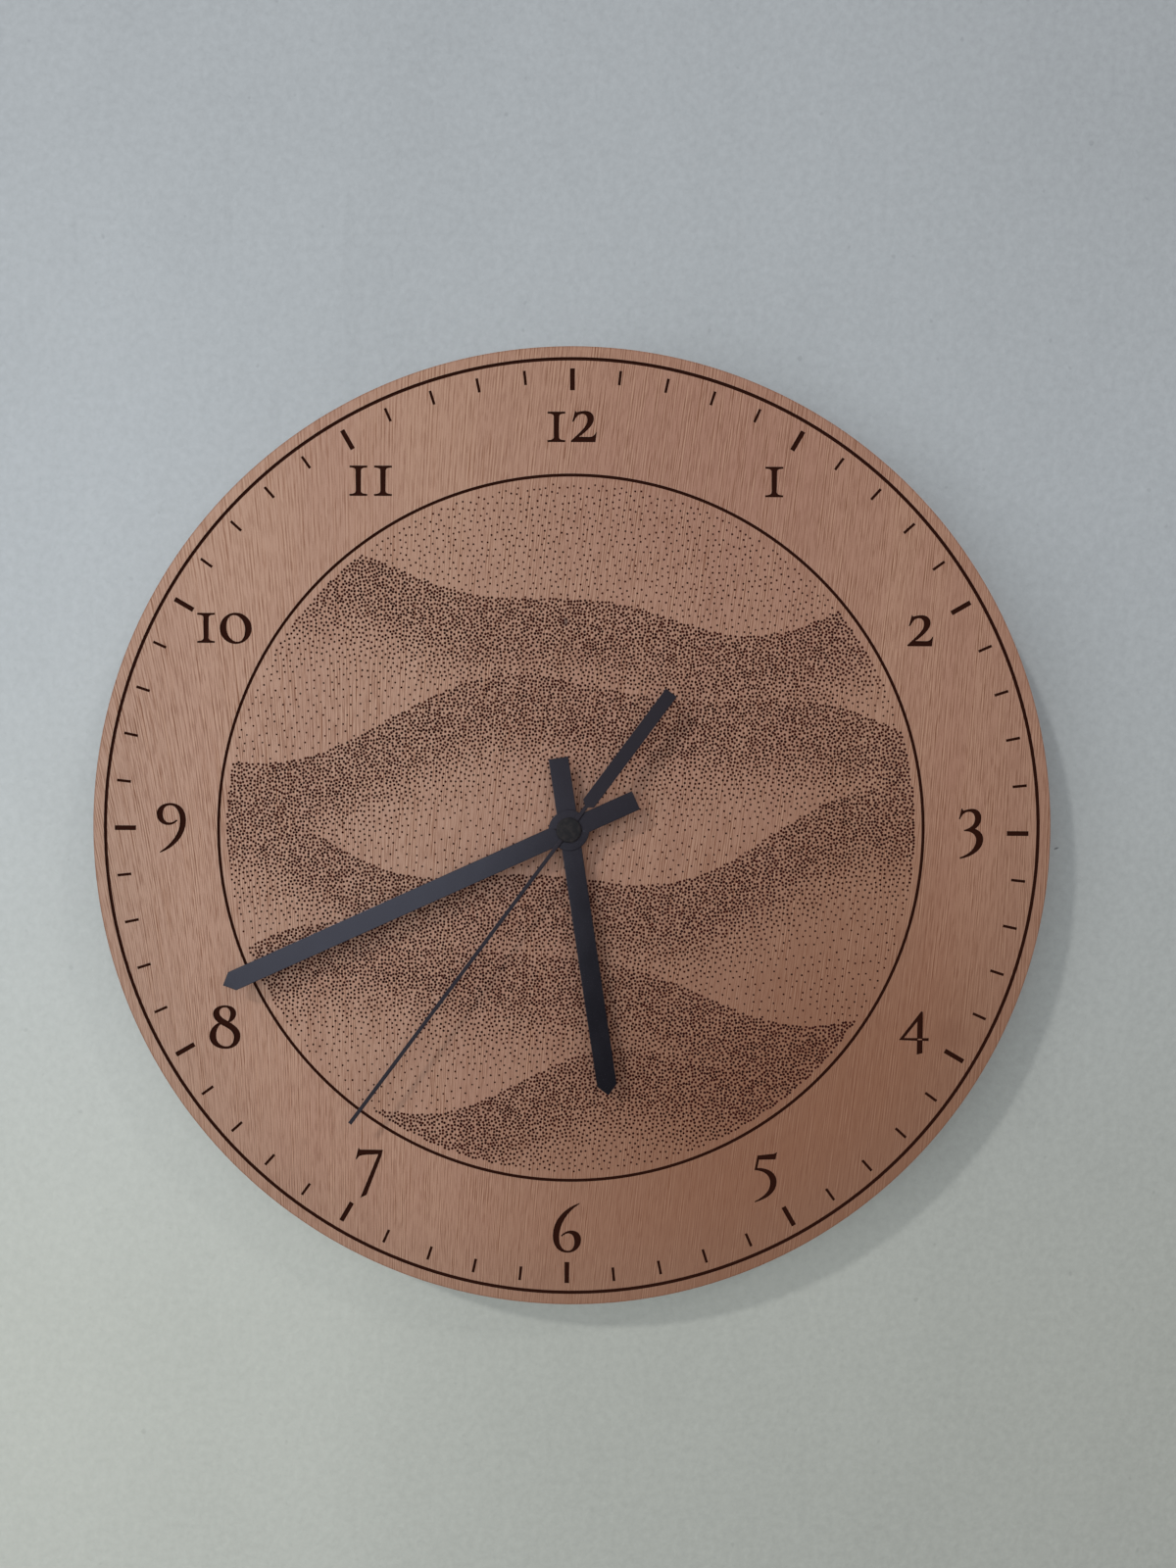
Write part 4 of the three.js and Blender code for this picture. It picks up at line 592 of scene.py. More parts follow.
def epoxy_finish():
    """Glossy black potting drop"""
    finish = Finish("potting_drop", (0.006, 0.006, 0.006), Specular_IOR_Level=0.5)
    ripple = finish.noise(700.0)
    tone = finish.mix((0.005, 0.005, 0.005), (0.014, 0.013, 0.012), ripple.rise(0.4, 0.7))
    return finish.done(tone, 0.16 + ripple * 0.12, ripple, 0.04, 0.4)


def jacket_finish(colours):
    """Shrunk plastic jacket with a plain band at its positive end, scuffed along its length"""
    finish = Finish("cell_jacket", colours.jacket, Specular_IOR_Level=0.5)
    x = finish.split(finish.place)[0]
    band = 1 - x.rise(-14.3 * MM, -14.1 * MM)
    line = x.rise(-13.2 * MM, -13.1 * MM) * (1 - x.rise(-12.4 * MM, -12.3 * MM))
    scuff = finish.noise((70.0, 900.0, 900.0), 3.0, 0.6)
    peel = finish.noise(900.0)
    tone = finish.mix(colours.jacket, colours.jacket_band, band + line)
    tone = finish.mix(tone, (0.30, 0.30, 0.30), scuff.rise(0.64, 0.86) * 0.25)
    finish.put("Metallic", band * 0.35)
    return finish.done(tone, 0.26 + scuff * 0.16, peel, 0.01, 0.4)


def wall_finish(colours):
    """Rolled wall paint with painted light and shade, seen and lit from the front alone"""
    finish = Finish("wall_paint", colours.wall, Specular_IOR_Level=0.2)
    x, _, z = finish.split(finish.place)
    roller = finish.noise(420.0, 4.0, 0.6)
    trowel = finish.noise((14.0, 14.0, 8.0), 4.0, 0.6)
    pits = finish.noise(330.0, 0.0).rise(0.80, 0.88)
    scratch = finish.noise((75.0, 75.0, 9.0), 3.0).rise(0.64, 0.70)
    scratch = scratch * z.rise(0.02, 0.16) * (1 - x.rise(-0.16, 0.06))
    # Painted light: a broad brighter patch where a window's light falls on the left of the wall
    painted_window_light = 1 - finish.away(x, z, PAINTED_LIGHT_PLACE).rise(0.02, 0.46)
    # Painted shade: the top right corner of the wall darker
    corner = x.rise(0.04, 0.20) * z.rise(0.10, 0.24)
    # Painted shadow: a soft darker patch on the wall under the clock
    painted_shadow = 1 - finish.away(x, z, PAINTED_SHADOW_PLACE, 0.7).rise(0.0, 0.11)
    slant = z - (x - NICK[0]) * 0.3
    nick = 1 - finish.away(x, slant, NICK, 2.6).rise(0.3 * MM, 1.1 * MM)
    # Paint level: painted light and shade above, with real trowel marks, scratches, roller, nick and pits
    level = 1 + painted_window_light * 0.33 - corner * 0.07 - painted_shadow * 0.05 - trowel.rise(0.35, 0.75) * 0.05 - scratch * 0.035
    level = level + (roller - 0.5) * 0.27 - nick * 0.6 - pits * 0.12
    # Painted shade: the lower wall darker and greener
    tone = finish.mix((0.352, 0.362, 0.328), colours.wall, z.rise(-0.19, 0.13))
    tone = finish.node("ShaderNodeVectorMath", {"operation": "SCALE"}, {0: tone, "Scale": level})
    finish.done(tone, 0.9, roller + trowel * 4.0, 0.5)
    path = finish.outputs("ShaderNodeLightPath")
    first = 1 - path["Diffuse Depth"].rise(0.2, 0.8)
    behind = finish.node("ShaderNodeNewGeometry", out="Backfacing")
    open_to = behind + path["Is Shadow Ray"] * first + path["Is Glossy Ray"]
    shown = finish.node("ShaderNodeMixShader", sockets={
        0: open_to.rise(0.1, 0.9), 1: Wire(finish, finish.shader.outputs[0]),
        2: finish.node("ShaderNodeBsdfTransparent")})
    finish.join(finish.tree.nodes["Material Output"].inputs["Surface"], shown)
    return finish.material


def arc(radius, start, end, steps):
    """Points on a circle about the axis, from one angle to another"""
    angles = [start + (end - start) * i / steps for i in range(steps + 1)]
    return [(radius * math.cos(angle), radius * math.sin(angle)) for angle in angles]


def circle(radius, steps, middle=(0.0, 0.0), start=0.0):
    """Points of a closed circle"""
    return [(middle[0] + x, middle[1] + z) for x, z in arc(radius, start, start + 2 * math.pi, steps)[:-1]]


def loop(bm, points, y):
    """A closed loop of edges through points at a depth"""
    verts = [bm.verts.new((x, y, z)) for x, z in points]
    return [bm.edges.new(pair) for pair in zip(verts, verts[1:] + verts[:1])]


def extend(bm, edges, by=(0, 0, 0), scale=1.0):
    """Extrudes a loop, moves and scales what it made about the axis, and gives its new edges"""
    grown = bmesh.ops.extrude_edge_only(bm, edges=edges)["geom"]
    verts = [item for item in grown if isinstance(item, bmesh.types.BMVert)]
    fresh = set(verts)
    bmesh.ops.scale(bm, verts=verts, vec=(scale, 1.0, scale))
    bmesh.ops.translate(bm, verts=verts, vec=by)
    return [item for item in grown if isinstance(item, bmesh.types.BMEdge) and fresh.issuperset(item.verts)]


def turned(profile, steps=96):
    """A closed solid turned about the axis from (radius, depth) points"""
    bm = bmesh.new()
    verts = [bm.verts.new((radius, y, 0.0)) for radius, y in profile]
    edges = [bm.edges.new(pair) for pair in zip(verts, verts[1:])]
    if profile[0][0] > 0 and profile[-1][0] > 0:
        edges.append(bm.edges.new((verts[-1], verts[0])))
    bmesh.ops.spin(bm, geom=verts + edges, cent=(0, 0, 0), axis=(0, 1, 0), angle=2 * math.pi, steps=steps,
                   use_merge=True)
    bmesh.ops.remove_doubles(bm, verts=bm.verts, dist=1e-7)
    bmesh.ops.recalc_face_normals(bm, faces=bm.faces)
    return bm


def ring(bore, rim, low, high, soft, steps=96):
    """A turned ring as deep as a node's box, with its outer edges eased"""
    return turned([
        (bore, high[1]), (rim - soft, high[1]), (rim, high[1] - soft), (rim, low[1] + soft),
        (rim - soft, low[1]), (bore, low[1])], steps)


def plate(points, back, front):
    """A closed plate of an outline between two depths"""
    bm = bmesh.new()
    bm.faces.new([bm.verts.new((x, back, z)) for x, z in points])
    grown = bmesh.ops.extrude_face_region(bm, geom=bm.faces[:], use_keep_orig=True)["geom"]
    verts = [item for item in grown if isinstance(item, bmesh.types.BMVert)]
    bmesh.ops.translate(bm, verts=verts, vec=(0, front - back, 0))
    bmesh.ops.recalc_face_normals(bm, faces=bm.faces)
    return bm


def combine(body, tool, operation):
    """The body after a Boolean with a tool, both closed meshes"""
    work = []
    for bm in (body, tool):
        mesh = bpy.data.meshes.new("work")
        bm.to_mesh(mesh)
        bm.free()
        work.append(bpy.data.objects.new("work", mesh))
        bpy.context.collection.objects.link(work[-1])
    step = work[0].modifiers.new("join", "BOOLEAN")
    step.object = work[1]
    step.operation = operation
    step.solver = "MANIFOLD"
    result = bmesh.new()
    result.from_object(work[0], bpy.context.evaluated_depsgraph_get())
    for item in work:
        mesh = item.data
        bpy.data.objects.remove(item)
        bpy.data.meshes.remove(mesh)
    bmesh.ops.remove_doubles(result, verts=result.verts, dist=1e-7)
    return result


def soften(bm, width, segments=2, angle=35.0):
    """Rounds every edge that is sharper than an angle"""
    sharp = [edge for edge in bm.edges
             if len(edge.link_faces) == 2 and edge.calc_face_angle(0.0) > math.radians(angle)]
    bmesh.ops.bevel(bm, geom=sharp, offset=width, offset_type="OFFSET", segments=segments, profile=0.5,
                    affect="EDGES", clamp_overlap=True, material=-1)


def node_copy(name):
    """A welded copy of a CAD node, its flat faces whole again"""
    bm = bmesh.new()
    bm.from_mesh(frame["nodes"][name].data)
    bmesh.ops.remove_doubles(bm, verts=bm.verts, dist=1e-6)
    bmesh.ops.dissolve_limit(bm, angle_limit=math.radians(0.5), use_dissolve_boundaries=False,
                             verts=bm.verts, edges=bm.edges)
    return bm


def add_piece(bm, name, finishes, body, nodes, angle=32.0):
    """Makes an object of a mesh, which rides on a body and stands for its CAD nodes"""
    mesh = bpy.data.meshes.new(name)
    bm.to_mesh(mesh)
    bm.free()
    for finish in finishes:
        mesh.materials.append(finish)
    mesh.shade_smooth()
    mesh.set_sharp_from_angle(angle=math.radians(angle))
    piece = bpy.data.objects.new(name, mesh)
    bpy.context.collection.objects.link(piece)
    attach(piece, body)
    if nodes:
        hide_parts(*nodes)
        piece.modifiers.new("even_normals", "WEIGHTED_NORMAL").keep_sharp = True
    return piece


def trace(path, middle):
    """Points of a figure's outline, in metres, with its curves cut into short stretches"""
    points = [Vector(path[0])]
    for step in path[1:]:
        if len(step) == 2:
            points.append(Vector(step))
        else:
            handles = [Vector(step[i:i + 2]) for i in (0, 2, 4)]
            points += interpolate_bezier(points[-1], *handles, 9)[1:]
    if (points[0] - points[-1]).length < 1e-3:
        points.pop()
    return [(middle[0] + p.x * MM, middle[1] + p.y * MM) for p in points]


def anticlockwise(points):
    """The same outline, run anticlockwise"""
    area = sum(a[0] * b[1] - b[0] * a[1] for a, b in zip(points, points[1:] + points[:1]))
    return points if area > 0 else points[::-1]


def swell(points, by):
    """The outline with its points moved outwards by a length, inwards where that is negative"""
    run = anticlockwise(points)
    moved = []
    for before, point, after in zip(run[-1:] + run, run, run[1:] + run[:1]):
        along = (Vector(after) - Vector(before)).normalized()
        moved.append((point[0] + along.y * by, point[1] - along.x * by))
    return moved


def engraved_outlines(sizes):
    """Outlines of the rings, ticks and figures, all burnt to the same depth"""
    outlines = []
    for radius, width in (
            (sizes.outer_ring, sizes.outer_ring_width), (sizes.inner_ring, sizes.inner_ring_width)):
        outlines += [circle(radius + side * width, ROUND_STEPS) for side in (0.5, -0.5)]
    for minute in range(60):
        on_hour = minute % 5 == 0
        half = (sizes.hour_tick_width if on_hour else sizes.minute_tick_width) / 2
        inner = sizes.tick_radius - (sizes.hour_tick if on_hour else sizes.minute_tick)
        turn = Matrix.Rotation(-minute * math.pi / 30, 2)
        corners = [(-half, inner), (half, inner), (half, sizes.tick_radius), (-half, sizes.tick_radius)]
        outlines.append([tuple(turn @ Vector(corner)) for corner in corners])
    for hour, figures in HOURS.items():
        middle = Matrix.Rotation(-hour * math.pi / 6, 2) @ Vector((0.0, sizes.figure_radius))
        for digit, shift in figures:
            for i, path in enumerate(FIGURES[digit]):
                outline = trace(path, (middle.x + shift * MM, middle.y))
                outlines.append(swell(outline, -sizes.figure_swell if i else sizes.figure_swell))
    return outlines


def hill_shade(x, z):
    """How close the stipple lies at a place: 1 just under a crest, fading to 0 down the slope"""
    for crest, *waves in HILLS:
        for swing, span, shift in waves:
            crest += swing * math.sin(x / span + shift)
        if z <= crest:
            fall = min(max((crest - z - CREST_BAND) / CREST_FADE, 0.0), 1.0)
            return 1.0 - fall * fall * (3.0 - 2.0 * fall)
    return SKY_SHADE


def stipple(sizes):
    """Places of the dots: tried in a random order, none nearer to another than its shade allows"""
    throw = random.Random(PLACES_SEED)
    step = 0.36 * sizes.close_dots
    reach = int(sizes.stipple_radius / step) + 1
    tries = [(step * (i + throw.random()), step * (j + throw.random()))
             for i in range(-reach, reach) for j in range(-reach, reach)]
    throw.shuffle(tries)
    grid = {}
    dots = []
    for x, z in tries:
        if not sizes.stipple_middle < math.hypot(x, z) < sizes.stipple_radius:
            continue
        shade = hill_shade(x / MM, z / MM)
        room = sizes.wide_dots + (sizes.close_dots - sizes.wide_dots) * shade ** 0.5
        near = int(room / sizes.close_dots) + 1
        i = int(x // sizes.close_dots)
        j = int(z // sizes.close_dots)
        clear = all(
            (x - u) ** 2 + (z - v) ** 2 >= room * room
            for a in range(i - near, i + near + 1)
            for b in range(j - near, j + near + 1)
            for u, v in grid.get((a, b), ()))
        if clear:
            grid.setdefault((i, j), []).append((x, z))
            dots.append((x, z))
    return dots


def burnt_dots(sizes, places):
    """Small closed crusts that stand a hair on the wood, with a map that runs from fringe to middle"""
    chance = random.Random(SIZES_SEED)
    bm = bmesh.new()
    layer = bm.loops.layers.uv.new("OFBake")
    for place in places:
        shade = hill_shade(place[0] / MM, place[1] / MM)
        radius = sizes.dot_radius * chance.uniform(0.86, 1.0) * (0.74 + 0.26 * shade)
        share = chance.uniform(0.05, 0.95)
        start = chance.uniform(0.0, math.pi)
        face = bm.faces.new([
            bm.verts.new((x, DIAL_FRONT - sizes.dot_rise, z)) for x, z in circle(radius, 6, place, start)])
        for i, corner in enumerate(face.loops):
            corner[layer].uv = (share + (0.03 if i % 2 else -0.03), 0.02)
    tops = bm.faces[:]
    grown = bmesh.ops.duplicate(bm, geom=tops)["geom"]
    roots = [item for item in grown if isinstance(item, bmesh.types.BMFace)]
    bmesh.ops.reverse_faces(bm, faces=roots)
    bmesh.ops.poke(bm, faces=roots, offset=sizes.dot_depth, center_mode="MEAN", use_relative_offset=False)
    bmesh.ops.poke(bm, faces=tops, offset=sizes.dot_rise, center_mode="MEAN", use_relative_offset=False)
    bmesh.ops.remove_doubles(bm, verts=bm.verts, dist=1e-7)
    for vert in bm.verts:
        if len({round(corner[layer].uv.x, 3) for corner in vert.link_loops}) == 1:
            for corner in vert.link_loops:
                corner[layer].uv.y = 0.98
    bmesh.ops.recalc_face_normals(bm, faces=bm.faces)
    return bm


def dial_face(sizes):
    """The dial's front, cut along every engraved outline, with the engraving pushed in"""
    outlines = [circle(radius, ROUND_STEPS) for radius in (DISC_RADIUS - sizes.edge_ease, sizes.hole_radius)]
    outlines += engraved_outlines(sizes)
    places = []
    rings = []
    for points in outlines:
        points = anticlockwise(points)
        rings.append(list(range(len(places), len(places) + len(points))))
        places += [Vector(point) for point in points]
    corners, _, triangles, _, _, owners = delaunay_2d_cdt(places, [], rings, 1, 1e-9, True)
    bm = bmesh.new()
    verts = [bm.verts.new((corner.x, DIAL_FRONT, corner.y)) for corner in corners]
    grooves = []
    for triangle, owner in zip(triangles, owners):
        owner = set(owner)
        if 1 in owner or 0 not in owner:
            continue
        face = bm.faces.new([verts[i] for i in triangle])
        if len(owner) % 2 == 0:
            face.material_index = 1
            grooves.append(face)
    grown = bmesh.ops.extrude_face_region(bm, geom=grooves)["geom"]
    floor = [item for item in grown if isinstance(item, bmesh.types.BMVert)]
    bmesh.ops.translate(bm, verts=floor, vec=(0, sizes.engraving_depth, 0))
    bmesh.ops.delete(bm, geom=grooves, context="FACES")
    loose = [vert for vert in bm.verts if not vert.link_faces]
    bmesh.ops.delete(bm, geom=loose, context="VERTS")
    bm.normal_update()
    for face in bm.faces:
        if abs(face.normal.y) < 0.2:
            face.material_index = 1
    return bm


def unwrap_dial(bm):
    """Lays out the dial's map: the face large, the engraving, the back and the rim beside it"""
    layer = bm.loops.layers.uv.new("OFBake")
    span = 2.02 * DISC_RADIUS
    for face in bm.faces:
        middle = face.calc_center_median()
        wall = abs(face.normal.y) < 0.9 and face.material_index == 0
        if wall:
            area = MAP_HOLE if middle.xz.length < 0.5 * DISC_RADIUS else MAP_RIM
        elif face.material_index == 1:
            area = MAP_BURN
        else:
            area = MAP_BACK if face.normal.y > 0 else MAP_FACE
        around = math.atan2(middle.z, middle.x)
        for corner in face.loops:
            x, y, z = corner.vert.co
            u = x / span + 0.5
            v = z / span + 0.5
            if wall:
                turn = math.atan2(z, x)
                turn += 2 * math.pi * round((around - turn) / (2 * math.pi))
                u = turn / (2 * math.pi) + 0.5
                v = (y - DIAL_FRONT) / (DIAL_BACK - DIAL_FRONT)
            corner[layer].uv = (area[0] + area[2] * u, area[1] + area[3] * v)


def bar_hand(sizes, length, bore, plate_back, collar_back):
    """A straight bar with a round boss, a pointed tip and a collar behind it, lying towards twelve"""
    half = sizes.bar_width / 2
    boss = sizes.boss_radius
    spread = math.asin(half / boss)
    outline = [(half, -sizes.bar_tail)]
    outline += arc(boss, spread - math.pi / 2, math.pi / 2 - spread, 22)
    outline += [(half, length - sizes.bar_tip), (0.0, length), (-half, length - sizes.bar_tip)]
    outline += arc(boss, math.pi / 2 + spread, 1.5 * math.pi - spread, 22)
    outline += [(-half, -sizes.bar_tail)]
    bm = bmesh.new()
    front_rim = loop(bm, outline, plate_back - sizes.hand_thickness)
    front_hole = loop(bm, circle(bore, 64), plate_back - sizes.hand_thickness)
    back_rim = loop(bm, outline, plate_back)
    collar = bore + sizes.collar_wall
    back_hole = loop(bm, circle(collar, 64), plate_back)
    bmesh.ops.triangle_fill(bm, use_beauty=True, use_dissolve=False, edges=front_rim + front_hole)
    bmesh.ops.triangle_fill(bm, use_beauty=True, use_dissolve=False, edges=back_rim + back_hole)
    bmesh.ops.bridge_loops(bm, edges=front_rim + back_rim)
    collar_end = extend(bm, back_hole, by=(0, collar_back - plate_back, 0))
    bore_end = extend(bm, collar_end, scale=bore / collar)
    bmesh.ops.bridge_loops(bm, edges=bore_end + front_hole)
    bmesh.ops.recalc_face_normals(bm, faces=bm.faces)
    soften(bm, sizes.hand_edge)
    return bm


def second_hand(sizes, plate_back):
    """Needle, counterweight and cap of the second hand, lying towards twelve"""
    front = plate_back - sizes.hand_thickness
    half = sizes.needle_width / 2
    weight = sizes.weight_width / 2
    start = -sizes.weight_start
    neck = start + 1.1 * MM
    end = -sizes.weight_end
    outline = [
        (half, sizes.second_length), (-half, sizes.second_length), (-half, neck), (-weight, start),
        (-weight, end), (weight, end), (weight, start), (half, neck)]
    stamping = plate(outline, plate_back, front)
    soften(stamping, sizes.hand_edge)
    rim = sizes.cap_radius
    back = plate_back - 0.03 * MM
    top = front - sizes.cap_height
    cap = turned([
        (0.0, back), (rim - 0.1 * MM, back), (rim, back - 0.1 * MM), (rim, top + 0.3 * MM),
        (rim - 0.07 * MM, top + 0.14 * MM), (rim - 0.25 * MM, top + 0.04 * MM), (rim - 0.5 * MM, top),
        (0.0, top)])
    for face in cap.faces:
        face.material_index = 1
    return combine(stamping, cap, "UNION")


def threads(start, end, radius, depth, pitch=0.5 * MM):
    """Profile points of a thread between two depths along the axis"""
    turns = max(int(abs(end - start) / pitch), 1)
    points = []
    for i in range(turns):
        points.append((radius - depth, start + (end - start) * (i + 0.25) / turns))
        points.append((radius, start + (end - start) * (i + 0.75) / turns))
    return points


class CLOCK_OT_stage(bpy.types.Operator):
    """Adds the wall, the soft light, the pale surroundings and the camera"""
    bl_idname = "clock.stage"
    bl_label = "Add stage"

    def execute(self, context):
        self.wall(context)
        for light in LIGHTS:
            self.light(context, *light)
        self.surroundings(context.scene)
        self.camera(context)
        context.scene.view_settings.view_transform = "Standard"
        return {"FINISHED"}

    def wall(self, context):
        bm = bmesh.new()
        bmesh.ops.create_grid(bm, x_segments=2, y_segments=2, size=4.0)
        bmesh.ops.rotate(bm, verts=bm.verts, matrix=Matrix.Rotation(math.pi / 2, 3, "X"))
        bmesh.ops.translate(bm, verts=bm.verts, vec=(0, WALL_GAP, 0))
        mesh = bpy.data.meshes.new("wall")
        bm.to_mesh(mesh)
        bm.free()
        mesh.materials.append(wall_finish(context.scene.clock_colours))
        wall = bpy.data.objects.new("wall", mesh)
        context.collection.objects.link(wall)

    def light(self, context, name, place, aim, size, power, tint):
        lamp = bpy.data.lights.new(name, "AREA")
        lamp.shape = "DISK"
        lamp.size = size
        lamp.energy = power
        lamp.color = tint
        holder = bpy.data.objects.new(name, lamp)
        holder.location = place
        holder.rotation_mode = "QUATERNION"
        holder.rotation_quaternion = (Vector(aim) - Vector(place)).to_track_quat("-Z", "Y")
        holder.visible_camera = False
        holder.visible_glossy = name != "room"
        context.collection.objects.link(holder)

    def surroundings(self, scene):
        scene.world = bpy.data.worlds.new("studio")
        scene.world.use_nodes = True
        studio = Nodes(scene.world.node_tree)
        studio.tree.nodes.clear()
        path = studio.outputs("ShaderNodeLightPath")
        seen = path["Is Camera Ray"] + path["Is Glossy Ray"] + path["Is Transmission Ray"]
        room = studio.node("ShaderNodeBackground", sockets={"Color": (0.247, 0.245, 0.262, 1.0)})
        pale = studio.node("ShaderNodeBackground", sockets={"Color": (0.37, 0.395, 0.42, 1.0)})
        shown = studio.node("ShaderNodeMixShader", sockets={0: seen, 1: room, 2: pale})
        studio.node("ShaderNodeOutputWorld", sockets={"Surface": shown})

    def camera(self, context):
        camera = bpy.data.objects.new("camera", bpy.data.cameras.new("camera"))
        camera.data.lens = LENS
        camera.data.sensor_width = 36.0
        camera.data.shift_y = SHIFT
        camera.data.clip_start = 0.01
        camera.location = EYE
        camera.rotation_mode = "QUATERNION"
        camera.rotation_quaternion = (AIM - EYE).to_track_quat("-Z", "Y") @ Quaternion((0, 0, 1), ROLL)
        context.collection.objects.link(camera)
        context.scene.camera = camera


class CLOCK_OT_dial(bpy.types.Operator):
    """Models the engraved wooden dial with its rings, ticks, figures and stippled hills"""
    bl_idname = "clock.dial"
    bl_label = "Add dial"

    def execute(self, context):
        sizes = context.scene.clock_sizes
        colours = context.scene.clock_colours
        bm = dial_face(sizes)
        rims = [edge for edge in bm.edges if edge.is_boundary]
        outer = [edge for edge in rims if edge.verts[0].co.xz.length > DISC_RADIUS / 2]
        hole = [edge for edge in rims if edge.verts[0].co.xz.length < DISC_RADIUS / 2]
        ease = sizes.edge_ease
        soft = 0.3 * ease
        flat = DISC_RADIUS - ease
        depth = DIAL_BACK - DIAL_FRONT
        radius = flat
        for step, reach in (
                (soft, DISC_RADIUS - soft), (ease - soft, DISC_RADIUS), (depth - 2 * ease, DISC_RADIUS),
                (ease - soft, DISC_RADIUS - soft), (soft, flat)):
            outer = extend(bm, outer, by=(0, step, 0), scale=reach / radius)
            radius = reach
        hole = extend(bm, hole, by=(0, depth, 0))
        bmesh.ops.bridge_loops(bm, edges=outer + hole)
        bmesh.ops.recalc_face_normals(bm, faces=bm.faces)
        bm.normal_update()
        unwrap_dial(bm)
        finishes = [oak_finish(colours), char_finish(colours)]
        add_piece(bm, "engraved_dial", finishes, "case", ["dial_disc"], angle=28.0)
        places = stipple(sizes)
        burnt = dots_finish(colours)
        for name, upper in (("upper_dots", True), ("lower_dots", False)):
            half = [place for place in places if (place[1] >= 0) == upper]
            add_piece(burnt_dots(sizes, half), name, [burnt], "case", [])
        return {"FINISHED"}


class CLOCK_OT_hands(bpy.types.Operator):
    """Models the three black hands"""
    bl_idname = "clock.hands"
    bl_label = "Add hands"

    def execute(self, context):
        sizes = context.scene.clock_sizes
        colours = context.scene.clock_colours
        paint = paint_finish(colours, "satin_black_paint", 0.17, 0.0)
        matt = paint_finish(colours, "matt_black_paint", 0.42, 0.2)
        cap = hub_finish(colours)
        for name, length, bore, angle, body in (
                ("hour_hand", sizes.hour_length, 2.65 * MM, sizes.hour_angle, "hour"),
                ("minute_hand", sizes.minute_length, 1.65 * MM, sizes.minute_angle, "minute")):
            low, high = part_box(name)
            bm = bar_hand(sizes, length, bore, low[1] + sizes.hand_thickness, high[1])
            bmesh.ops.rotate(bm, verts=bm.verts, matrix=Matrix.Rotation(angle, 3, "Y"))
            add_piece(bm, "bar_" + name, [paint], body, [name])
        bm = second_hand(sizes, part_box("second_hand")[1][1])
        bmesh.ops.rotate(bm, verts=bm.verts, matrix=Matrix.Rotation(sizes.second_angle, 3, "Y"))
        add_piece(bm, "needle_second_hand", [matt, cap], "second", ["second_hand"])
        return {"FINISHED"}


class CLOCK_OT_fixings(bpy.types.Operator):
    """Models the nut, washer, threaded bush and collet at the centre of the dial"""
    bl_idname = "clock.fixings"
    bl_label = "Add centre fixings"

    def execute(self, context):
        sizes = context.scene.clock_sizes
        brass = brass_finish(context.scene.clock_colours)
        soft = 0.1 * MM
        low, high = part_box("flat_washer")
        washer = ring(sizes.hole_radius, high[0], low, high, soft)
        add_piece(washer, "turned_washer", [brass], "case", ["flat_washer"])
        low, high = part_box("hex_nut")
        bore = sizes.hole_radius
        corner = high[0]
        face = corner * math.cos(math.pi / 6)
        slope = (corner - face) * 0.5
        prism = plate(circle(corner, 6), high[1], low[1])
        blank = turned([
            (bore, high[1]), (face, high[1]), (corner, high[1] - slope), (corner, low[1] + slope),
            (face, low[1]), (bore, low[1])])
        nut = combine(prism, blank, "INTERSECT")
        soften(nut, 0.06 * MM, segments=1, angle=25.0)
        add_piece(nut, "chamfered_nut", [brass], "case", ["hex_nut"], angle=20.0)
        low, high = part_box("threaded_bush")
        flange = high[0]
        bore = 2.8 * MM
        stem = 3.9 * MM
        cut = 0.25 * MM
        shoulder = high[1] - 1.0 * MM
        thread = threads(shoulder - 1.0 * MM, low[1] + 0.2 * MM, stem, cut)
        bush = turned([
            (bore, high[1]), (flange - soft, high[1]), (flange, high[1] - soft), (flange, shoulder + soft),
            (flange - soft, shoulder), (stem, shoulder), *thread, (stem - cut, low[1]), (bore, low[1])])
        add_piece(bush, "threaded_stem", [brass], "case", ["threaded_bush"])
        low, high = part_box("second_hand_collet")
        collet = ring(0.65 * MM, 1.35 * MM, low, high, soft, steps=48)
        add_piece(collet, "turned_collet", [brass], "second", ["second_hand_collet"])
        return {"FINISHED"}


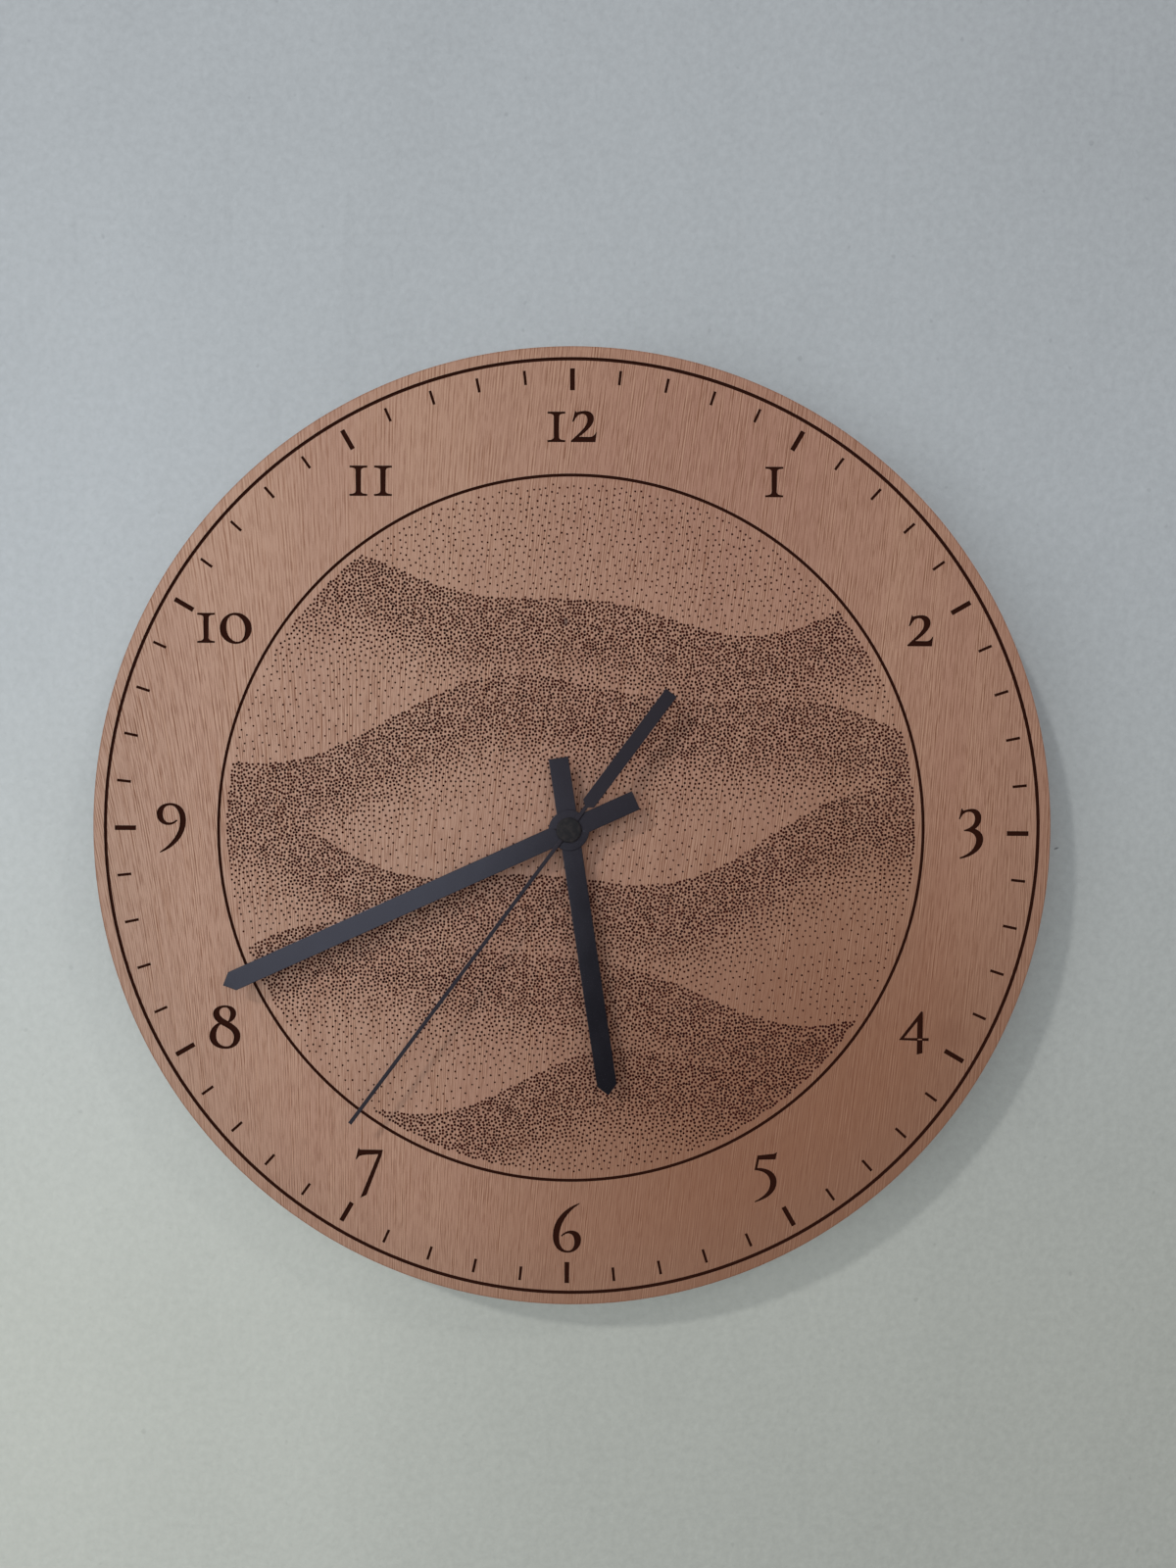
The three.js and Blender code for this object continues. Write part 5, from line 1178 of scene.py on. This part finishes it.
class CLOCK_OT_movement(bpy.types.Operator):
    """Models the moulded case, its cover with signs, the setting knob and the gasket"""
    bl_idname = "clock.movement"
    bl_label = "Add movement case"

    def execute(self, context):
        sizes = context.scene.clock_sizes
        plastic = plastic_finish(context.scene.clock_colours)
        tray = node_copy("front_case")
        soften(tray, sizes.mould_edge)
        add_piece(tray, "moulded_tray", [plastic], "case", ["front_case"])
        cover = node_copy("rear_cover")
        for tool in self.signs(sizes):
            cover = combine(cover, tool, "DIFFERENCE")
        add_piece(cover, "moulded_cover", [plastic], "case", ["rear_cover"])
        knob = node_copy("set_knob")
        soften(knob, sizes.mould_edge)
        add_piece(knob, "fluted_knob", [plastic], "setting", ["set_knob"])
        low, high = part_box("rubber_gasket")
        gasket = ring(4.1 * MM, high[0], low, high, 0.2 * MM)
        add_piece(gasket, "cut_gasket", [rubber_finish()], "case", ["rubber_gasket"])
        return {"FINISHED"}

    def signs(self, sizes):
        """Closed tools that sink the two pole signs and the turning arrows into the cover"""
        deep = -sizes.mark_depth
        proud = 1.0 * MM
        arm = 1.6 * MM
        half = 0.3 * MM
        bar = [(-arm, -half), (arm, -half), (arm, half), (-arm, half)]
        poles = [(-22.0 * MM, -7.6 * MM), (22.0 * MM, -7.6 * MM)]
        tools = [plate([(x + u, z + v) for u, v in bar], proud, deep) for x, z in poles]
        x, z = poles[0]
        tools.append(plate([(x - v, z + u) for u, v in bar], proud, deep))
        for start in (0.35, 0.35 + math.pi):
            end = start + 1.5
            inner = arc(8.0 * MM, start, end, 18)
            outer = arc(8.6 * MM, end, start, 18)
            head = [arc(radius * MM, end + turn, 0.0, 1)[0] for radius, turn in
                    ((7.3, 0.0), (8.3, 0.24), (9.3, 0.0))]
            tools.append(plate([(KNOB_AXIS + u, v) for u, v in inner + head + outer], proud, deep))
        return tools


class CLOCK_OT_cell(bpy.types.Operator):
    """Models the cell in its bay"""
    bl_idname = "clock.cell"
    bl_label = "Add cell"

    def execute(self, context):
        colours = context.scene.clock_colours
        low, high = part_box("cell")
        far = (high[0] - low[0]) / MM
        button = [(0.0, 0.0), (2.35, 0.0), (2.6, 0.12), (2.65, 0.4), (2.65, 1.15), (3.2, 1.3), (5.4, 1.32)]
        jacket = [
            (5.7, 1.45), (6.2, 1.35), (6.7, 1.45), (6.95, 1.75), (7.0, 2.1), (7.0, far - 0.9),
            (6.9, far - 0.5), (6.55, far - 0.25), (6.1, far - 0.3)]
        base = [(5.7, far - 0.45), (5.3, far - 0.2), (4.6, far - 0.02), (0.0, far)]
        bm = turned([(radius * MM, along * MM) for radius, along in button + jacket + base], steps=72)
        for face in bm.faces:
            along = face.calc_center_median().y / MM
            reach = max(vert.co.xz.length for vert in face.verts) / MM
            face.material_index = 0 if reach > 6.15 and 1.3 < along < far - 0.24 else 1
        bmesh.ops.rotate(bm, verts=bm.verts, matrix=Matrix.Rotation(-math.pi / 2, 3, "Z"))
        bmesh.ops.translate(bm, verts=bm.verts, vec=(low[0], (low[1] + high[1]) / 2, (low[2] + high[2]) / 2))
        finishes = [jacket_finish(colours), steel_finish(colours)]
        add_piece(bm, "jacketed_cell", finishes, "case", ["cell"])
        return {"FINISHED"}


class CLOCK_OT_works(bpy.types.Operator):
    """Finishes the wheels, the motor and the other pieces inside the movement"""
    bl_idname = "clock.works"
    bl_label = "Finish works"

    def execute(self, context):
        colours = context.scene.clock_colours
        finishes = {
            "brass": brass_finish(colours),
            "wheel_plastic": acetal_finish(colours),
            "steel": steel_finish(colours),
            "copper": winding_finish(colours),
            "magnet": magnet_finish(),
            "board": board_finish(colours),
            "epoxy": epoxy_finish(),
        }
        for part in frame["record"]["subparts"]:
            finish = finishes.get(part["material_slot"])
            if finish:
                for place in frame["nodes"][part["node"]].material_slots:
                    place.material = finish
        return {"FINISHED"}


class VIEW3D_PT_clock(bpy.types.Panel):
    """Lists the clock's operators and values in the sidebar"""
    bl_label = "Wooden Wall Clock"
    bl_space_type = "VIEW_3D"
    bl_region_type = "UI"
    bl_category = "Clock"

    def draw(self, context):
        column = self.layout.column()
        for operator in OPERATORS:
            column.operator(operator.bl_idname)
        for group in (context.scene.clock_sizes, context.scene.clock_colours):
            for key in group.bl_rna.properties.keys():
                if key not in {"rna_type", "name"}:
                    column.prop(group, key)


OPERATORS = (
    CLOCK_OT_stage, CLOCK_OT_dial, CLOCK_OT_hands, CLOCK_OT_fixings, CLOCK_OT_movement, CLOCK_OT_cell,
    CLOCK_OT_works)
CLASSES = (ClockSizes, ClockColours, *OPERATORS, VIEW3D_PT_clock)


def register():
    for item in CLASSES:
        bpy.utils.register_class(item)
    bpy.types.Scene.clock_sizes = bpy.props.PointerProperty(type=ClockSizes)
    bpy.types.Scene.clock_colours = bpy.props.PointerProperty(type=ClockColours)


def unregister():
    del bpy.types.Scene.clock_colours
    del bpy.types.Scene.clock_sizes
    for item in reversed(CLASSES):
        bpy.utils.unregister_class(item)


def main():
    register()
    bpy.ops.clock.stage()
    bpy.ops.clock.dial()
    bpy.ops.clock.hands()
    bpy.ops.clock.fixings()
    bpy.ops.clock.movement()
    bpy.ops.clock.cell()
    bpy.ops.clock.works()


if __name__ == "__main__":
    main()
